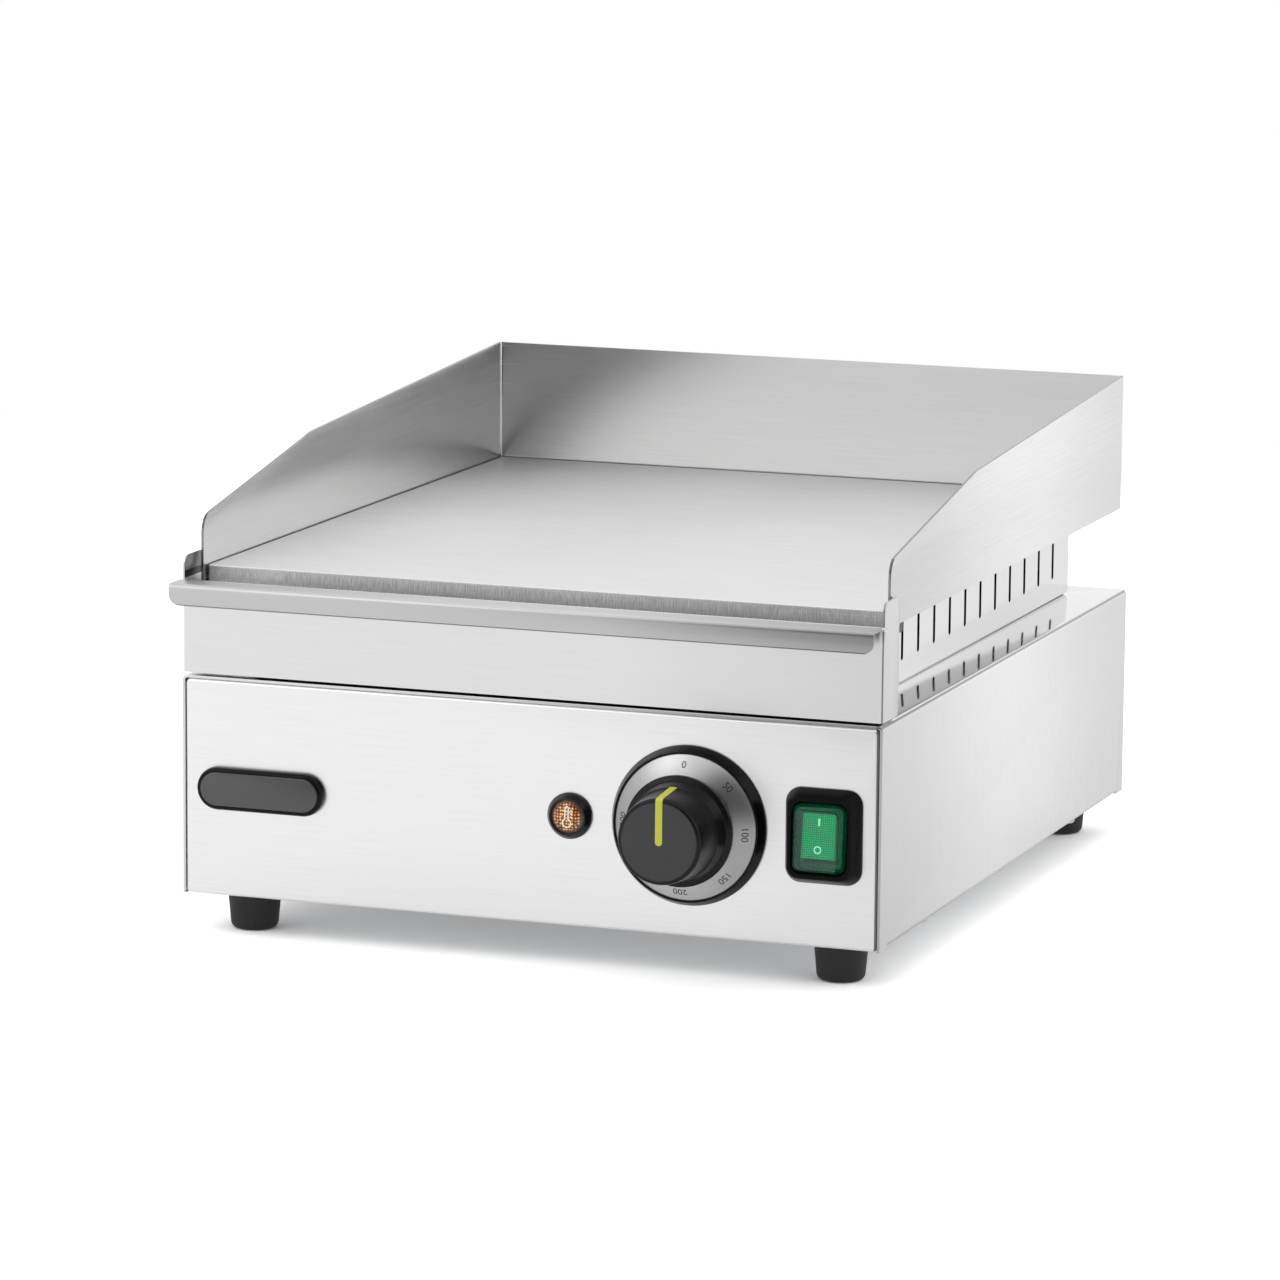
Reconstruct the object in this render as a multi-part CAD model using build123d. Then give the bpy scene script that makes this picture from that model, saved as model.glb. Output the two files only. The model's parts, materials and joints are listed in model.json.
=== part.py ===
from build123d import *
import os
from math import cos, radians, sin

# Flat top griddle, millimetres.  The pieces are drawn with X across, Y running back from the front
# panel's outer face and Z up from the casing's bottom edge.  place() then puts the origin on the
# worktop, under the middle of the whole outline.

# ---- casing ----
casing_width = 330.0
casing_depth = 392.0
casing_height = 100.0
casing_sheet = 1.2
casing_bend = 1.3            # inside radius of the casing's long bends
bottom_flange = 12.0         # inward flange along each side's bottom edge
rear_flange = 18.0           # returns that the rear panel is screwed to
rear_flange_relief = 13.0    # plain length of side wall before the rear corner
rear_edge_radius = 2.0
seam = 0.2                   # gap at a closed sheet seam
free_gap = 0.3               # gap between parts that only stand beside each other

# ---- front panel ----
panel_return = 10.0          # depth of the folded edges
panel_edge_radius = 1.7
panel_corner_radius = 2.2

# ---- rear panel and base plate ----
rear_sheet = 1.0
rear_inset = 6.0
rear_corner_radius = 3.0
base_sheet = 1.0
vent_width = 4.0
vent_length = 34.0
vent_pitch = 12.0
rear_vent_count = 9
base_vent_count = 7
base_vent_spread = 60.0      # centre line of each vent group from the middle

# ---- feet ----
foot_height = 18.5           # rubber below the casing's bottom edge
foot_top_radius = 12.4
foot_base_radius = 10.6
foot_base_rounding = 3.0
foot_bore_radius = 5.2
foot_bore_depth = 9.5
foot_side_inset = 25.0
foot_end_inset = 23.5

# ---- heat chamber ----
chamber_side_margin = 23.2   # casing side to the chamber's side wall
chamber_height = 39.5        # deck to the plate's underside
chamber_sheet = 1.0
chamber_bend = 1.0
chamber_front = 22.6         # Y of the side walls' front edges
chamber_rear_margin = 23.0   # rear wall's outer face to the casing's rear
chamber_flange = 12.0
stud_offset = 7.0            # side wall to the studs through its top flange
chamber_relief = 4.0
slot_width = 3.4
slot_length = 20.0
slot_foot = 11.1             # deck to the slots' lower ends
slot_pitch = 24.0
slot_end_margin = 29.3       # rear wall to the last slot's centre line
slot_front_margin = 24.0     # least plain wall before the first slot
rail_depth = 20.0
rail_height = 13.0

# ---- griddle plate and splash guard ----
plate_side_margin = 4.5      # casing side to the plate's edge
plate_front_overhang = 4.4   # past the chamber's side walls
plate_rear_overhang = 15.6   # past the chamber's rear wall
plate_thickness = 8.0
plate_edge_radius = 0.6
plate_corner_radius = 1.5
guard_sheet = 1.2
guard_bend = 1.0
guard_gap = 0.9              # plate edge to the guard, filled at the weld stitches
guard_lap = 7.0              # how far the guard reaches down beside the plate
guard_front_overhang = 2.4   # past the plate's front edge
guard_front_height = 22.2    # plate top to the front corner of the side walls
guard_kink_run = 125.7       # front edge to the kink in the side walls' tops
guard_kink_height = 44.5
guard_back_height = 58.0
guard_front_rounding = 9.0
guard_kink_rounding = 4.0
weld_length = 18.0
weld_height = 3.0
weld_rise = 0.5              # guard's lower edge to the beads
weld_spacing = 90.0
weld_count = 4

# ---- heating element ----
element_diameter = 8.5
element_gap = 0.1
element_pitch = 70.0
element_front_margin = 35.4  # chamber front to the front turns' centre line
element_rear_margin = 29.0   # rear wall to the legs
element_turn_margin = 22.0   # legs to the rear turn
element_bend = 24.0
element_leg_bend = 15.0
element_leg_length = 14.0    # below the deck
pin_diameter = 4.0
pin_length = 12.0
ferrule_bore_clearance = 0.1
ferrule_diameter = 12.4
ferrule_collar_diameter = 18.0
ferrule_collar = 3.0
ferrule_nut_flats = 17.0
ferrule_nut_height = 4.0
ferrule_tail = 3.0
clamp_depth = 20.0
clamp_sheet = 2.0
clamp_overhang = 17.0
clamp_front_margin = 62.0    # front turns to the front clamp
clamp_rear_margin = 68.0     # rear turn to the rear clamp
bulb_diameter = 6.0
bulb_length = 75.0
bulb_front_margin = 30.0     # front clamp to the bulb
bulb_x = -15.0
clip_depth = 10.0
clip_sheet = 1.0
clip_foot = 6.0
capillary_diameter = 1.8
capillary_drop_margin = 30.0  # rear turn to the tube's way down
capillary_rise = 12.1        # controls' centre line to the tube's level run
capillary_cross_y = 72.0
capillary_bend = 14.0
mat_side_margin = 15.8       # chamber wall to the mat
mat_thickness = 10.0
mat_front_margin = 8.0       # behind the drawer
mat_rear_margin = 14.0       # in front of the element's legs
mat_corner_radius = 4.0

# ---- screws, studs and nuts ----
stud_diameter = 6.0
stud_reach = 8.0
stud_end_reach = 1.0         # past the nut
stud_front_margin = 39.4     # chamber front to the first stud
stud_rear_margin = 37.0      # rear wall to the last stud
nut_flats = 10.0
nut_height = 5.0
thread_gap = 0.05
small_screw_diameter = 4.0
small_head_diameter = 7.4
small_head_height = 2.3
small_nut_flats = 7.0
small_nut_height = 3.2
sheet_screw_length = 6.0
point_reach = 2.0            # screw end past the sheet it holds
screw_clearance = 0.2
blade_width = 6.4            # flat terminals
blade_thickness = 0.8
blade_reach = 8.0

# ---- thermostat, dial and knob ----
control_height = 49.9        # centre line of the controls above the casing's bottom edge
dial_inset = 88.0            # casing's right side to the dial's centre
shaft_diameter = 6.0
shaft_flat = 0.9
shaft_gap = 0.05
shaft_front = 34.0
shaft_rear = 13.0
stat_width = 43.0
stat_height = 34.0
stat_plate = 1.5
stat_block_width = 37.0
stat_block_height = 31.0
stat_block_depth = 22.0
stat_cup_diameter = 27.0
stat_cup_depth = 6.0
stat_screw_spread = 28.0
stat_thread_depth = 10.0
stat_corner_radius = 2.0
stat_blade_spread = 16.0
stat_blade_drop = 9.0        # below the block
bezel_diameter = 71.5
bezel_rim = 1.0
bezel_top_diameter = 66.9
bezel_height = 5.9
dial_outer_diameter = 65.4
dial_inner_diameter = 45.6
dial_edge_height = 5.5
dial_inner_height = 11.0
dial_sheet = 0.4
knob_reach = 40.0            # panel face to the knob's face
knob_face_diameter = 38.0
knob_face_rounding = 1.6
knob_waist_diameter = 41.4
knob_waist_y = 21.5
knob_waist_rounding = 4.0
knob_flare_diameter = 45.2
knob_flare_y = 16.0
knob_skirt_diameter = 49.6
knob_skirt_y = 15.0
knob_skirt_depth = 2.0
knob_wall = 2.0
knob_boss_diameter = 13.0
knob_boss_y = 6.0
pointer_width = 3.3
pointer_depth = 0.5
pointer_proud = 0.2
pointer_end_y = 21.5

# ---- pilot lamp ----
lamp_inset = 143.7           # casing's right side to the lamp's centre
lamp_bezel_diameter = 20.8
lamp_bezel_height = 4.2
lamp_bezel_top_diameter = 16.8
lamp_bezel_rounding = 1.4
lens_diameter = 15.0
lens_gap = 0.1
lens_edge_height = 3.4
lens_crown_height = 4.8
lamp_body_length = 26.0
lamp_nut_flats = 20.0
lamp_nut_height = 3.0
lamp_blade_spread = 8.0
lamp_blade_width = 3.2

# ---- rocker switch and its splash cover ----
switch_inset = 25.9          # casing's right side to the switch's centre
switch_cutout_width = 22.0
switch_cutout_height = 30.0
switch_body_gap = 0.2
switch_body_depth = 22.0
switch_flange_width = 25.0
switch_flange_height = 32.0
switch_flange = 1.5
switch_bezel_width = 18.8
switch_bezel_height = 26.0
switch_bezel_front = 4.5
switch_corner_radius = 1.0
switch_blade_spread = 10.0
switch_blade_pitch = 8.0
rocker_width = 14.8
rocker_height = 20.0
rocker_face_y = 8.6          # front of the rocker when it is level
rocker_pivot_y = 1.0
rocker_tilt = 9.0            # each way from level; the lamp side is pressed at rest
rocker_side_gap = 0.3
rocker_end_gap = 1.5
rocker_pin_diameter = 2.4
rocker_pin_gap = 0.05
rocker_pin_reach = 1.4
rocker_pin_end_gap = 0.2
rocker_skirt = 5.6           # depth of the rocker's ends
rocker_heel = 2.0            # behind the pivot
rocker_room = 4.0            # free depth behind the pivot
rocker_edge_radius = 0.5
frame_width = 35.0
frame_height = 42.3
frame_corner_radius = 7.0
frame_edge = 1.5
frame_front_width = 28.8
frame_front_height = 35.6
frame_front_radius = 5.0
frame_front_y = 7.6
boot_tilt = 3.0
cover_gap = 0.15
cover_width = 24.4
cover_height = 30.4
cover_corner_radius = 4.4
cover_face_width = 20.8
cover_face_height = 27.0
cover_face_radius = 3.0
cover_shoulder_y = 7.0
cover_face_y = 12.4
cover_wall = 0.8

# ---- badge ----
badge_inset = 38.6           # casing's left side to the badge's centre
badge_z = 49.6
badge_length = 61.0
badge_height = 19.5
badge_thickness = 4.0
badge_edge_radius = 2.2

# ---- grease drawer ----
drawer_sheet = 1.0
drawer_bend = 1.2
drawer_clearance = 0.3       # tray over the chamber's foot flanges
drawer_top = 43.7            # deck to the lip's upper face
lip_reach = 15.0
lip_drop = 9.7
lip_end_radius = 5.0
ear_front = 0.6             # front edge of the ears above the lip
ear_depth = 21.5
ear_height = 54.0            # deck to the ears' tops
ear_front_radius = 4.5
ear_rear_radius = 3.5
ear_foot_radius = 3.0
tray_depth = 150.0
tray_height = 19.0
tray_side_gap = 2.5
tray_corner_radius = 3.0
gutter_corner_radius = 1.5

# ---- mains entry and inner parts ----
gland_inset = 47.0           # casing's left side to the cord entry
gland_z = 32.0
gland_bore_diameter = 8.4
gland_thread_diameter = 16.0
gland_flats = 22.0
gland_flange = 4.0
gland_dome_diameter = 20.0
gland_dome_length = 11.0
gland_dome_rounding = 4.0
gland_thread_length = 9.0
block_length = 40.0
block_depth = 20.0
block_height = 17.0
block_rear_margin = 74.0     # casing's rear to the block's middle
block_inset = 65.0           # casing's left side to the block's middle
block_edge_radius = 1.5
block_poles = 3
block_pitch = 12.0
block_bore_diameter = 5.0
earth_offset = 38.0          # terminal block to the earth stud
earth_rear_margin = 36.0
earth_diameter = 5.0
earth_length = 14.0
earth_washer = 1.0
earth_nut_height = 4.0
cutout_inset = 105.0         # casing's right side to the cut-out
cutout_rear_margin = 92.0
cutout_diameter = 16.0
cutout_height = 9.0
cutout_flange_width = 26.0
cutout_flange_depth = 12.0
cutout_flange = 1.0
cutout_blade_spread = 10.0

# ---- worked out from the values above ----
half_width = casing_width / 2
switch_x = half_width - switch_inset
dial_x = half_width - dial_inset
lamp_x = half_width - lamp_inset
badge_x = badge_inset - half_width
gland_x = gland_inset - half_width
block_x = block_inset - half_width
block_y = casing_depth - block_rear_margin
earth_x = block_x + earth_offset
earth_y = casing_depth - earth_rear_margin
cutout_x = half_width - cutout_inset
cutout_y = casing_depth - cutout_rear_margin
deck_under = casing_height - casing_sheet
side_inner = half_width - casing_sheet
plate_under = casing_height + chamber_height
plate_top = plate_under + plate_thickness
chamber_rear = casing_depth - chamber_rear_margin
chamber_half = half_width - chamber_side_margin
chamber_inner = chamber_half - chamber_sheet
flange_clear = chamber_half - chamber_flange - seam
plate_half = half_width - plate_side_margin
plate_front = chamber_front - plate_front_overhang
plate_rear = chamber_rear + plate_rear_overhang
guard_front = plate_front - guard_front_overhang
guard_kink_y = guard_front + guard_kink_run
guard_inner = plate_half + guard_gap
guard_half = guard_inner + guard_sheet
guard_back_inner = plate_rear + guard_gap
guard_back = guard_back_inner + guard_sheet
base_under = casing_sheet
base_top = base_under + base_sheet
panel_half = side_inner - seam
panel_top = deck_under - seam
rear_reach = rear_sheet + gland_flange + gland_dome_length
drawer_floor = casing_height + chamber_sheet + drawer_clearance
element_radius = element_diameter / 2
element_front = chamber_front + element_front_margin
element_leg_y = chamber_rear - element_rear_margin
element_turn_rear = element_leg_y - element_turn_margin
clamp_front_y = element_front + clamp_front_margin
clamp_rear_y = element_turn_rear - clamp_rear_margin
bulb_front = clamp_front_y + bulb_front_margin
capillary_drop_y = element_turn_rear - capillary_drop_margin
capillary_run_z = control_height + capillary_rise
mat_half = chamber_inner - mat_side_margin
mat_front = tray_depth + mat_front_margin
mat_rear = element_leg_y - mat_rear_margin
stud_front_y = chamber_front + stud_front_margin
stud_rear_y = chamber_rear - stud_rear_margin
element_z = plate_under - element_gap - element_radius
element_low = element_z - element_radius
clamp_top = element_low - element_gap
clamp_low = clamp_top - clamp_sheet
element_outer_x = 1.5 * element_pitch
front_y = -(casing_depth + rear_reach - knob_reach - pointer_proud) / 2


def place(shape):
    return Pos(0, front_y, foot_height) * shape


def along_x(sketch, low, high):
    # a section drawn in (Y, Z), drawn out from X = low to X = high
    plane = Plane(origin=(low, 0, 0), x_dir=(0, 1, 0), z_dir=(1, 0, 0))
    return extrude(plane * sketch, amount=high - low, dir=(1, 0, 0))


def along_y(sketch, low, high):
    # a section drawn in (X, Z), drawn out from Y = low to Y = high
    plane = Plane(origin=(0, high, 0), x_dir=(1, 0, 0), z_dir=(0, -1, 0))
    return extrude(plane * sketch, amount=high - low, dir=(0, -1, 0))


def along_z(sketch, low, high):
    return extrude(Plane.XY.offset(low) * sketch, amount=high - low, dir=(0, 0, 1))


def block(x, y, z):
    return Pos((x[0] + x[1]) / 2, (y[0] + y[1]) / 2, (z[0] + z[1]) / 2) * Box(x[1] - x[0], y[1] - y[0], z[1] - z[0])


def rod_z(radius, x, y, low, high):
    return Pos(x, y, (low + high) / 2) * Cylinder(radius, high - low)


def rod_y(radius, x, z, low, high):
    return Pos(x, (low + high) / 2, z) * Rot(90, 0, 0) * Cylinder(radius, high - low)


def rod_x(radius, y, z, low, high):
    return Pos((low + high) / 2, y, z) * Rot(0, 90, 0) * Cylinder(radius, high - low)


def hex_z(flats, x, y, low, high):
    return along_z(Pos(x, y) * Rot(0, 0, 30) * RegularPolygon(flats / 2, 6, major_radius=False), low, high)


def hex_y(flats, x, z, low, high):
    return along_y(Pos(x, z) * RegularPolygon(flats / 2, 6, major_radius=False), low, high)


def turned(points, x, z):
    # a closed outline of (radius, Y) turned about a line along Y
    solid = revolve(Plane.XY * flat(points), axis=Axis.Y)
    return Pos(x, 0, z) * solid


def cut_all(solid, tools):
    for tool in tools:
        solid = solid - tool
    return solid


def join(solids):
    whole = solids[0]
    for solid in solids[1:]:
        whole = whole + solid
    return whole


def group(solids):
    return Compound(children=list(solids))


def flat(points):
    return Polygon(*points, align=None)


def corner_radius(sketch, point, radius):
    return fillet(sketch.vertices().sort_by_distance((point[0], point[1], 0))[0], radius)


def bent_section(points, sheet, bend, side):
    # the section of a sheet bent along a line of corner points; side is 1 where the metal lies to
    # the left of the line and -1 where it lies to the right
    directions = []
    for (ax, ay), (bx, by) in zip(points, points[1:]):
        length = ((bx - ax) ** 2 + (by - ay) ** 2) ** 0.5
        directions.append(((bx - ax) / length, (by - ay) / length))
    other = []
    for index, (px, py) in enumerate(points):
        before = directions[max(index - 1, 0)]
        after = directions[min(index, len(directions) - 1)]
        nx, ny = -(before[1] + after[1]), before[0] + after[0]
        scale = side * sheet * 2 / (nx * nx + ny * ny)
        other.append((px + nx * scale, py + ny * scale))
    section = flat(points + other[::-1])
    for index in range(1, len(points) - 1):
        before, after = directions[index - 1], directions[index]
        turn = (before[0] * after[1] - before[1] * after[0]) * side
        inner, outer = (other[index], points[index]) if turn > 0 else (points[index], other[index])
        section = corner_radius(section, inner, bend)
        section = corner_radius(section, outer, bend + sheet)
    return section


def screw_up(x, y, under, length):
    # pan-head screw driven upwards, its head's seat at height under
    radius = small_screw_diameter / 2
    head = rod_z(small_head_diameter / 2, x, y, under - small_head_height, under)
    head = fillet(head.faces().sort_by(Axis.Z)[0].edges(), small_head_height * 0.45)
    return head + rod_z(radius, x, y, under, under + length)


def screw_forward(x, z, seat, length, way):
    # pan-head screw along Y, its head's seat at Y = seat, its shank running along way (1 or -1)
    head = rod_y(small_head_diameter / 2, x, z, *sorted((seat, seat - way * small_head_height)))
    far = head.faces().sort_by(Axis.Y)[0 if way > 0 else -1]
    head = fillet(far.edges(), small_head_height * 0.45)
    return head + rod_y(small_screw_diameter / 2, x, z, *sorted((seat, seat + way * length)))


def blade_along_x(x, y, z):
    # flat terminal lying across X, its thickness along Y
    return block((x - blade_width / 2, x + blade_width / 2), (y, y + blade_thickness), z)


def blade_along_z(x, y, z):
    # flat terminal standing along Z, its thickness along X
    return block((x - blade_thickness / 2, x + blade_thickness / 2), y, (z - blade_width / 2, z + blade_width / 2))


# ---- where the fasteners are ----
foot_places = {
    "foot_front_left": (-(half_width - foot_side_inset), foot_end_inset),
    "foot_front_right": (half_width - foot_side_inset, foot_end_inset),
    "foot_rear_left": (-(half_width - foot_side_inset), casing_depth - foot_end_inset),
    "foot_rear_right": (half_width - foot_side_inset, casing_depth - foot_end_inset),
}
flange_line = half_width - bottom_flange / 2
base_screw_places = [(side * flange_line, casing_depth * share)
                     for side in (-1, 1) for share in (0.2, 0.5, 0.8)]
rear_line = half_width - rear_flange * 0.6
rear_screw_places = [(side * rear_line, casing_height * share)
                     for side in (-1, 1) for share in (0.13, 0.5, 0.85)]
stud_line = chamber_half - stud_offset
stud_places = [(side * stud_line, y) for side in (-1, 1)
               for y in (stud_front_y, (stud_front_y + stud_rear_y) / 2, stud_rear_y)]
clamp_stud_places = [(x, y) for y in (clamp_front_y, clamp_rear_y)
                     for x in (-element_pitch, 0, element_pitch)]
leg_places = [(-element_outer_x, element_leg_y), (element_outer_x, element_leg_y)]


def make_casing():
    plain = [(-half_width, 0), (-half_width, casing_height), (half_width, casing_height), (half_width, 0)]
    flanged = [(-half_width + bottom_flange, 0)] + plain + [(half_width - bottom_flange, 0)]
    ends = bent_section(plain, casing_sheet, casing_bend, -1)
    middle = bent_section(flanged, casing_sheet, casing_bend, -1)
    first = panel_return + free_gap
    last = casing_depth - rear_flange_relief
    shell = join([along_y(ends, 0, first), along_y(middle, first, last), along_y(ends, last, casing_depth)])
    back = (casing_depth - casing_sheet, casing_depth)
    for side in (-1, 1):
        shell = shell + block(sorted((side * (half_width - rear_flange), side * half_width)), back,
                              (0, casing_height - casing_bend - casing_sheet))
    shell = shell + block((-half_width + rear_flange + free_gap, half_width - rear_flange - free_gap), back,
                          (casing_height - rear_flange, casing_height - casing_sheet / 2))
    hull = block((-half_width, half_width), (0, casing_depth), (0, casing_height))
    hull = fillet(hull.faces().sort_by(Axis.Z)[-1].edges().filter_by(Axis.Y), casing_bend + casing_sheet)
    hull = fillet(hull.faces().sort_by(Axis.Y)[-1].edges().sort_by(Axis.Z)[1:], rear_edge_radius)
    shell = shell & hull
    holes = [rod_z(ferrule_diameter / 2 + screw_clearance, x, y, deck_under - 1, casing_height + 1)
             for x, y in leg_places]
    holes.append(rod_z(capillary_diameter, bulb_x, capillary_drop_y, deck_under - 1, casing_height + 1))
    holes += [rod_z(small_screw_diameter / 2 + screw_clearance, x, y, -1, casing_sheet + 1)
              for x, y in base_screw_places]
    holes += [rod_y(small_screw_diameter / 2 + thread_gap, x, z, casing_depth - casing_sheet - 1, casing_depth + 1)
              for x, z in rear_screw_places]
    return cut_all(shell, holes)


def make_front_panel():
    outer = block((-panel_half, panel_half), (0, panel_return), (0, panel_top))
    outer = fillet(outer.edges().filter_by(Axis.Y), panel_corner_radius)
    outer = fillet(outer.faces().sort_by(Axis.Y)[0].edges(), panel_edge_radius)
    inner = block((-panel_half + casing_sheet, panel_half - casing_sheet), (casing_sheet, panel_return + 1),
                  (casing_sheet, panel_top - casing_sheet))
    inner = fillet(inner.edges().filter_by(Axis.Y), panel_corner_radius - casing_sheet)
    inner = fillet(inner.faces().sort_by(Axis.Y)[0].edges(), panel_edge_radius - casing_sheet)
    panel = outer - inner
    through = (-1, casing_sheet + 1)
    spread = stat_screw_spread / 2
    holes = [rod_y(shaft_diameter / 2 + 2 * screw_clearance, dial_x, control_height, *through),
             rod_y(lens_diameter / 2 + screw_clearance, lamp_x, control_height, *through)]
    holes += [rod_y(small_screw_diameter / 2 + screw_clearance, dial_x + side * spread, control_height, *through)
              for side in (-1, 1)]
    holes.append(along_y(Pos(switch_x, control_height) * Rectangle(switch_cutout_width, switch_cutout_height),
                         *through))
    return cut_all(panel, holes)


def make_rear_panel():
    width = casing_width - 2 * rear_inset
    height = casing_height - 2 * rear_inset
    outline = Pos(0, casing_height / 2) * RectangleRounded(width, height, rear_corner_radius)
    panel = along_y(outline, casing_depth, casing_depth + rear_sheet)
    span = (casing_depth - 1, casing_depth + rear_sheet + 1)
    vents = [along_y(Pos(x, casing_height / 2) * Rot(0, 0, 90) * SlotOverall(vent_length, vent_width), *span)
             for x in [vent_pitch * (index - (rear_vent_count - 1) / 2) for index in range(rear_vent_count)]]
    holes = [rod_y(small_screw_diameter / 2 + screw_clearance, x, z, *span) for x, z in rear_screw_places]
    holes.append(rod_y(gland_thread_diameter / 2 + screw_clearance, gland_x, gland_z, *span))
    return cut_all(panel, vents + holes)


def make_base_plate():
    half = panel_half - casing_sheet - panel_corner_radius / 2
    rear = casing_depth - casing_sheet - free_gap
    plate = block((-half, half), (casing_sheet + panel_edge_radius, rear), (base_under, base_top))
    span = (base_under - 1, base_top + 1)
    vents = []
    for side in (-1, 1):
        for index in range(base_vent_count):
            y = casing_depth / 2 + vent_pitch * (index - (base_vent_count - 1) / 2)
            vents.append(along_z(Pos(side * base_vent_spread, y) * SlotOverall(vent_length, vent_width), *span))
    holes = [rod_z(small_screw_diameter / 2 + screw_clearance, x, y, *span) for x, y in foot_places.values()]
    holes += [rod_z(small_screw_diameter / 2 + thread_gap, x, y, *span) for x, y in base_screw_places]
    return cut_all(plate, vents + holes)


def make_foot(x, y):
    profile = flat([(foot_bore_radius, -foot_height), (foot_base_radius, -foot_height),
                         (foot_top_radius, base_under), (small_screw_diameter / 2 + screw_clearance, base_under),
                         (small_screw_diameter / 2 + screw_clearance, -foot_height + foot_bore_depth),
                         (foot_bore_radius, -foot_height + foot_bore_depth)])
    profile = corner_radius(profile, (foot_base_radius, -foot_height), foot_base_rounding)
    return Pos(x, y, 0) * revolve(Plane.XZ * profile, axis=Axis.Z)


def make_foot_screw(x, y):
    return screw_up(x, y, -foot_height + foot_bore_depth,
                    foot_height - foot_bore_depth + base_top + small_nut_height + point_reach / 2)


def small_nut(x, y, low):
    body = hex_z(small_nut_flats, x, y, low, low + small_nut_height)
    return body - rod_z(small_screw_diameter / 2 + thread_gap, x, y, low - 1, low + small_nut_height + 1)


def stud_nut(x, y, top):
    body = hex_z(nut_flats, x, y, top - nut_height, top)
    return body - rod_z(stud_diameter / 2 + thread_gap, x, y, top - nut_height - 1, top + 1)


def make_heat_chamber():
    low, high = casing_height, plate_under
    bend_out = chamber_bend + chamber_sheet
    side_line = [(chamber_half - chamber_flange, low), (chamber_half, low),
                 (chamber_half, high), (chamber_half - chamber_flange, high)]
    right = along_y(bent_section(side_line, chamber_sheet, chamber_bend, 1),
                    chamber_front, chamber_rear - chamber_relief)
    rear_line = [(chamber_rear - chamber_flange, low), (chamber_rear, low),
                 (chamber_rear, high), (chamber_rear - chamber_flange, high)]
    rear = along_x(bent_section(rear_line, chamber_sheet, chamber_bend, 1), -flange_clear, flange_clear)
    rear = rear + block((chamber_relief - chamber_half, chamber_half - chamber_relief),
                        (chamber_rear - chamber_sheet, chamber_rear), (low + bend_out / 2, high - bend_out / 2))
    plan = [(-chamber_half, chamber_front), (-chamber_half, chamber_rear),
            (chamber_half, chamber_rear), (chamber_half, chamber_front)]
    band = along_z(bent_section(plan, chamber_sheet, chamber_bend, -1), low + bend_out, high - bend_out)
    walls = join([band, right, mirror(right, about=Plane.YZ), rear])
    last = chamber_rear - slot_end_margin
    count = int((last - chamber_front - slot_front_margin) / slot_pitch) + 1
    slot = Rot(0, 0, 90) * SlotOverall(slot_length, slot_width)
    middle = low + slot_foot + slot_length / 2
    row = Sketch() + [Pos(last - index * slot_pitch, middle) * slot for index in range(count)]
    walls = walls - along_x(row, -chamber_half - 1, chamber_half + 1)
    holes = [rod_z(stud_diameter / 2 + screw_clearance, x, y, high - chamber_sheet - 1, high + 1)
             for x, y in stud_places]
    return cut_all(walls, holes)


def make_front_rail():
    front = chamber_front + chamber_sheet
    line = [(front, plate_under - rail_height), (front, plate_under), (front + rail_depth, plate_under)]
    return along_x(bent_section(line, chamber_sheet, chamber_bend, -1), -flange_clear, flange_clear)


def make_plate():
    plate = block((-plate_half, plate_half), (plate_front, plate_rear), (plate_under, plate_top))
    plate = fillet(plate.edges().filter_by(Axis.Z), plate_corner_radius)
    return fillet(plate.faces().sort_by(Axis.Z)[-1].edges(), plate_edge_radius)


def make_guard():
    low = plate_top - guard_lap
    plan = [(-guard_half, guard_front), (-guard_half, guard_back), (guard_half, guard_back), (guard_half, guard_front)]
    walls = along_z(bent_section(plan, guard_sheet, guard_bend, -1), low, plate_top + guard_back_height)
    corner = (guard_front, plate_top + guard_front_height)
    kink = (guard_kink_y, plate_top + guard_kink_height)
    side = flat([(guard_front, low), (guard_back, low), (guard_back, plate_top + guard_back_height),
                      (guard_back_inner, plate_top + guard_back_height), kink, corner])
    side = corner_radius(side, corner, guard_front_rounding)
    side = corner_radius(side, kink, guard_kink_rounding)
    return walls & along_x(side, -guard_half - 1, guard_half + 1)


def make_guard_welds():
    low = plate_top - guard_lap + weld_rise
    z = (low, low + weld_height)
    beads = []
    middle_y = (plate_front + plate_rear) / 2
    for index in range(weld_count):
        offset = weld_spacing * (index - (weld_count - 1) / 2)
        along = (middle_y + offset - weld_length / 2, middle_y + offset + weld_length / 2)
        beads.append(block((plate_half, guard_inner), along, z))
        beads.append(block((-guard_inner, -plate_half), along, z))
    for index in range(weld_count - 1):
        offset = weld_spacing * (index - (weld_count - 2) / 2)
        beads.append(block((offset - weld_length / 2, offset + weld_length / 2), (plate_rear, guard_back_inner), z))
    return group(beads)


def make_element():
    low = casing_height - element_leg_length
    inner = element_pitch / 2
    x = element_outer_x
    points = [(-x, element_leg_y, low), (-x, element_leg_y, element_z), (-x, element_front, element_z),
              (-inner, element_front, element_z), (-inner, element_turn_rear, element_z),
              (inner, element_turn_rear, element_z), (inner, element_front, element_z),
              (x, element_front, element_z), (x, element_leg_y, element_z), (x, element_leg_y, low)]
    radii = [element_leg_bend] + [element_bend] * 6 + [element_leg_bend]
    path = FilletPolyline(*points, radius=radii)
    return sweep(Plane(origin=points[0], z_dir=(0, 0, 1)) * Circle(element_radius), path=path)


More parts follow.
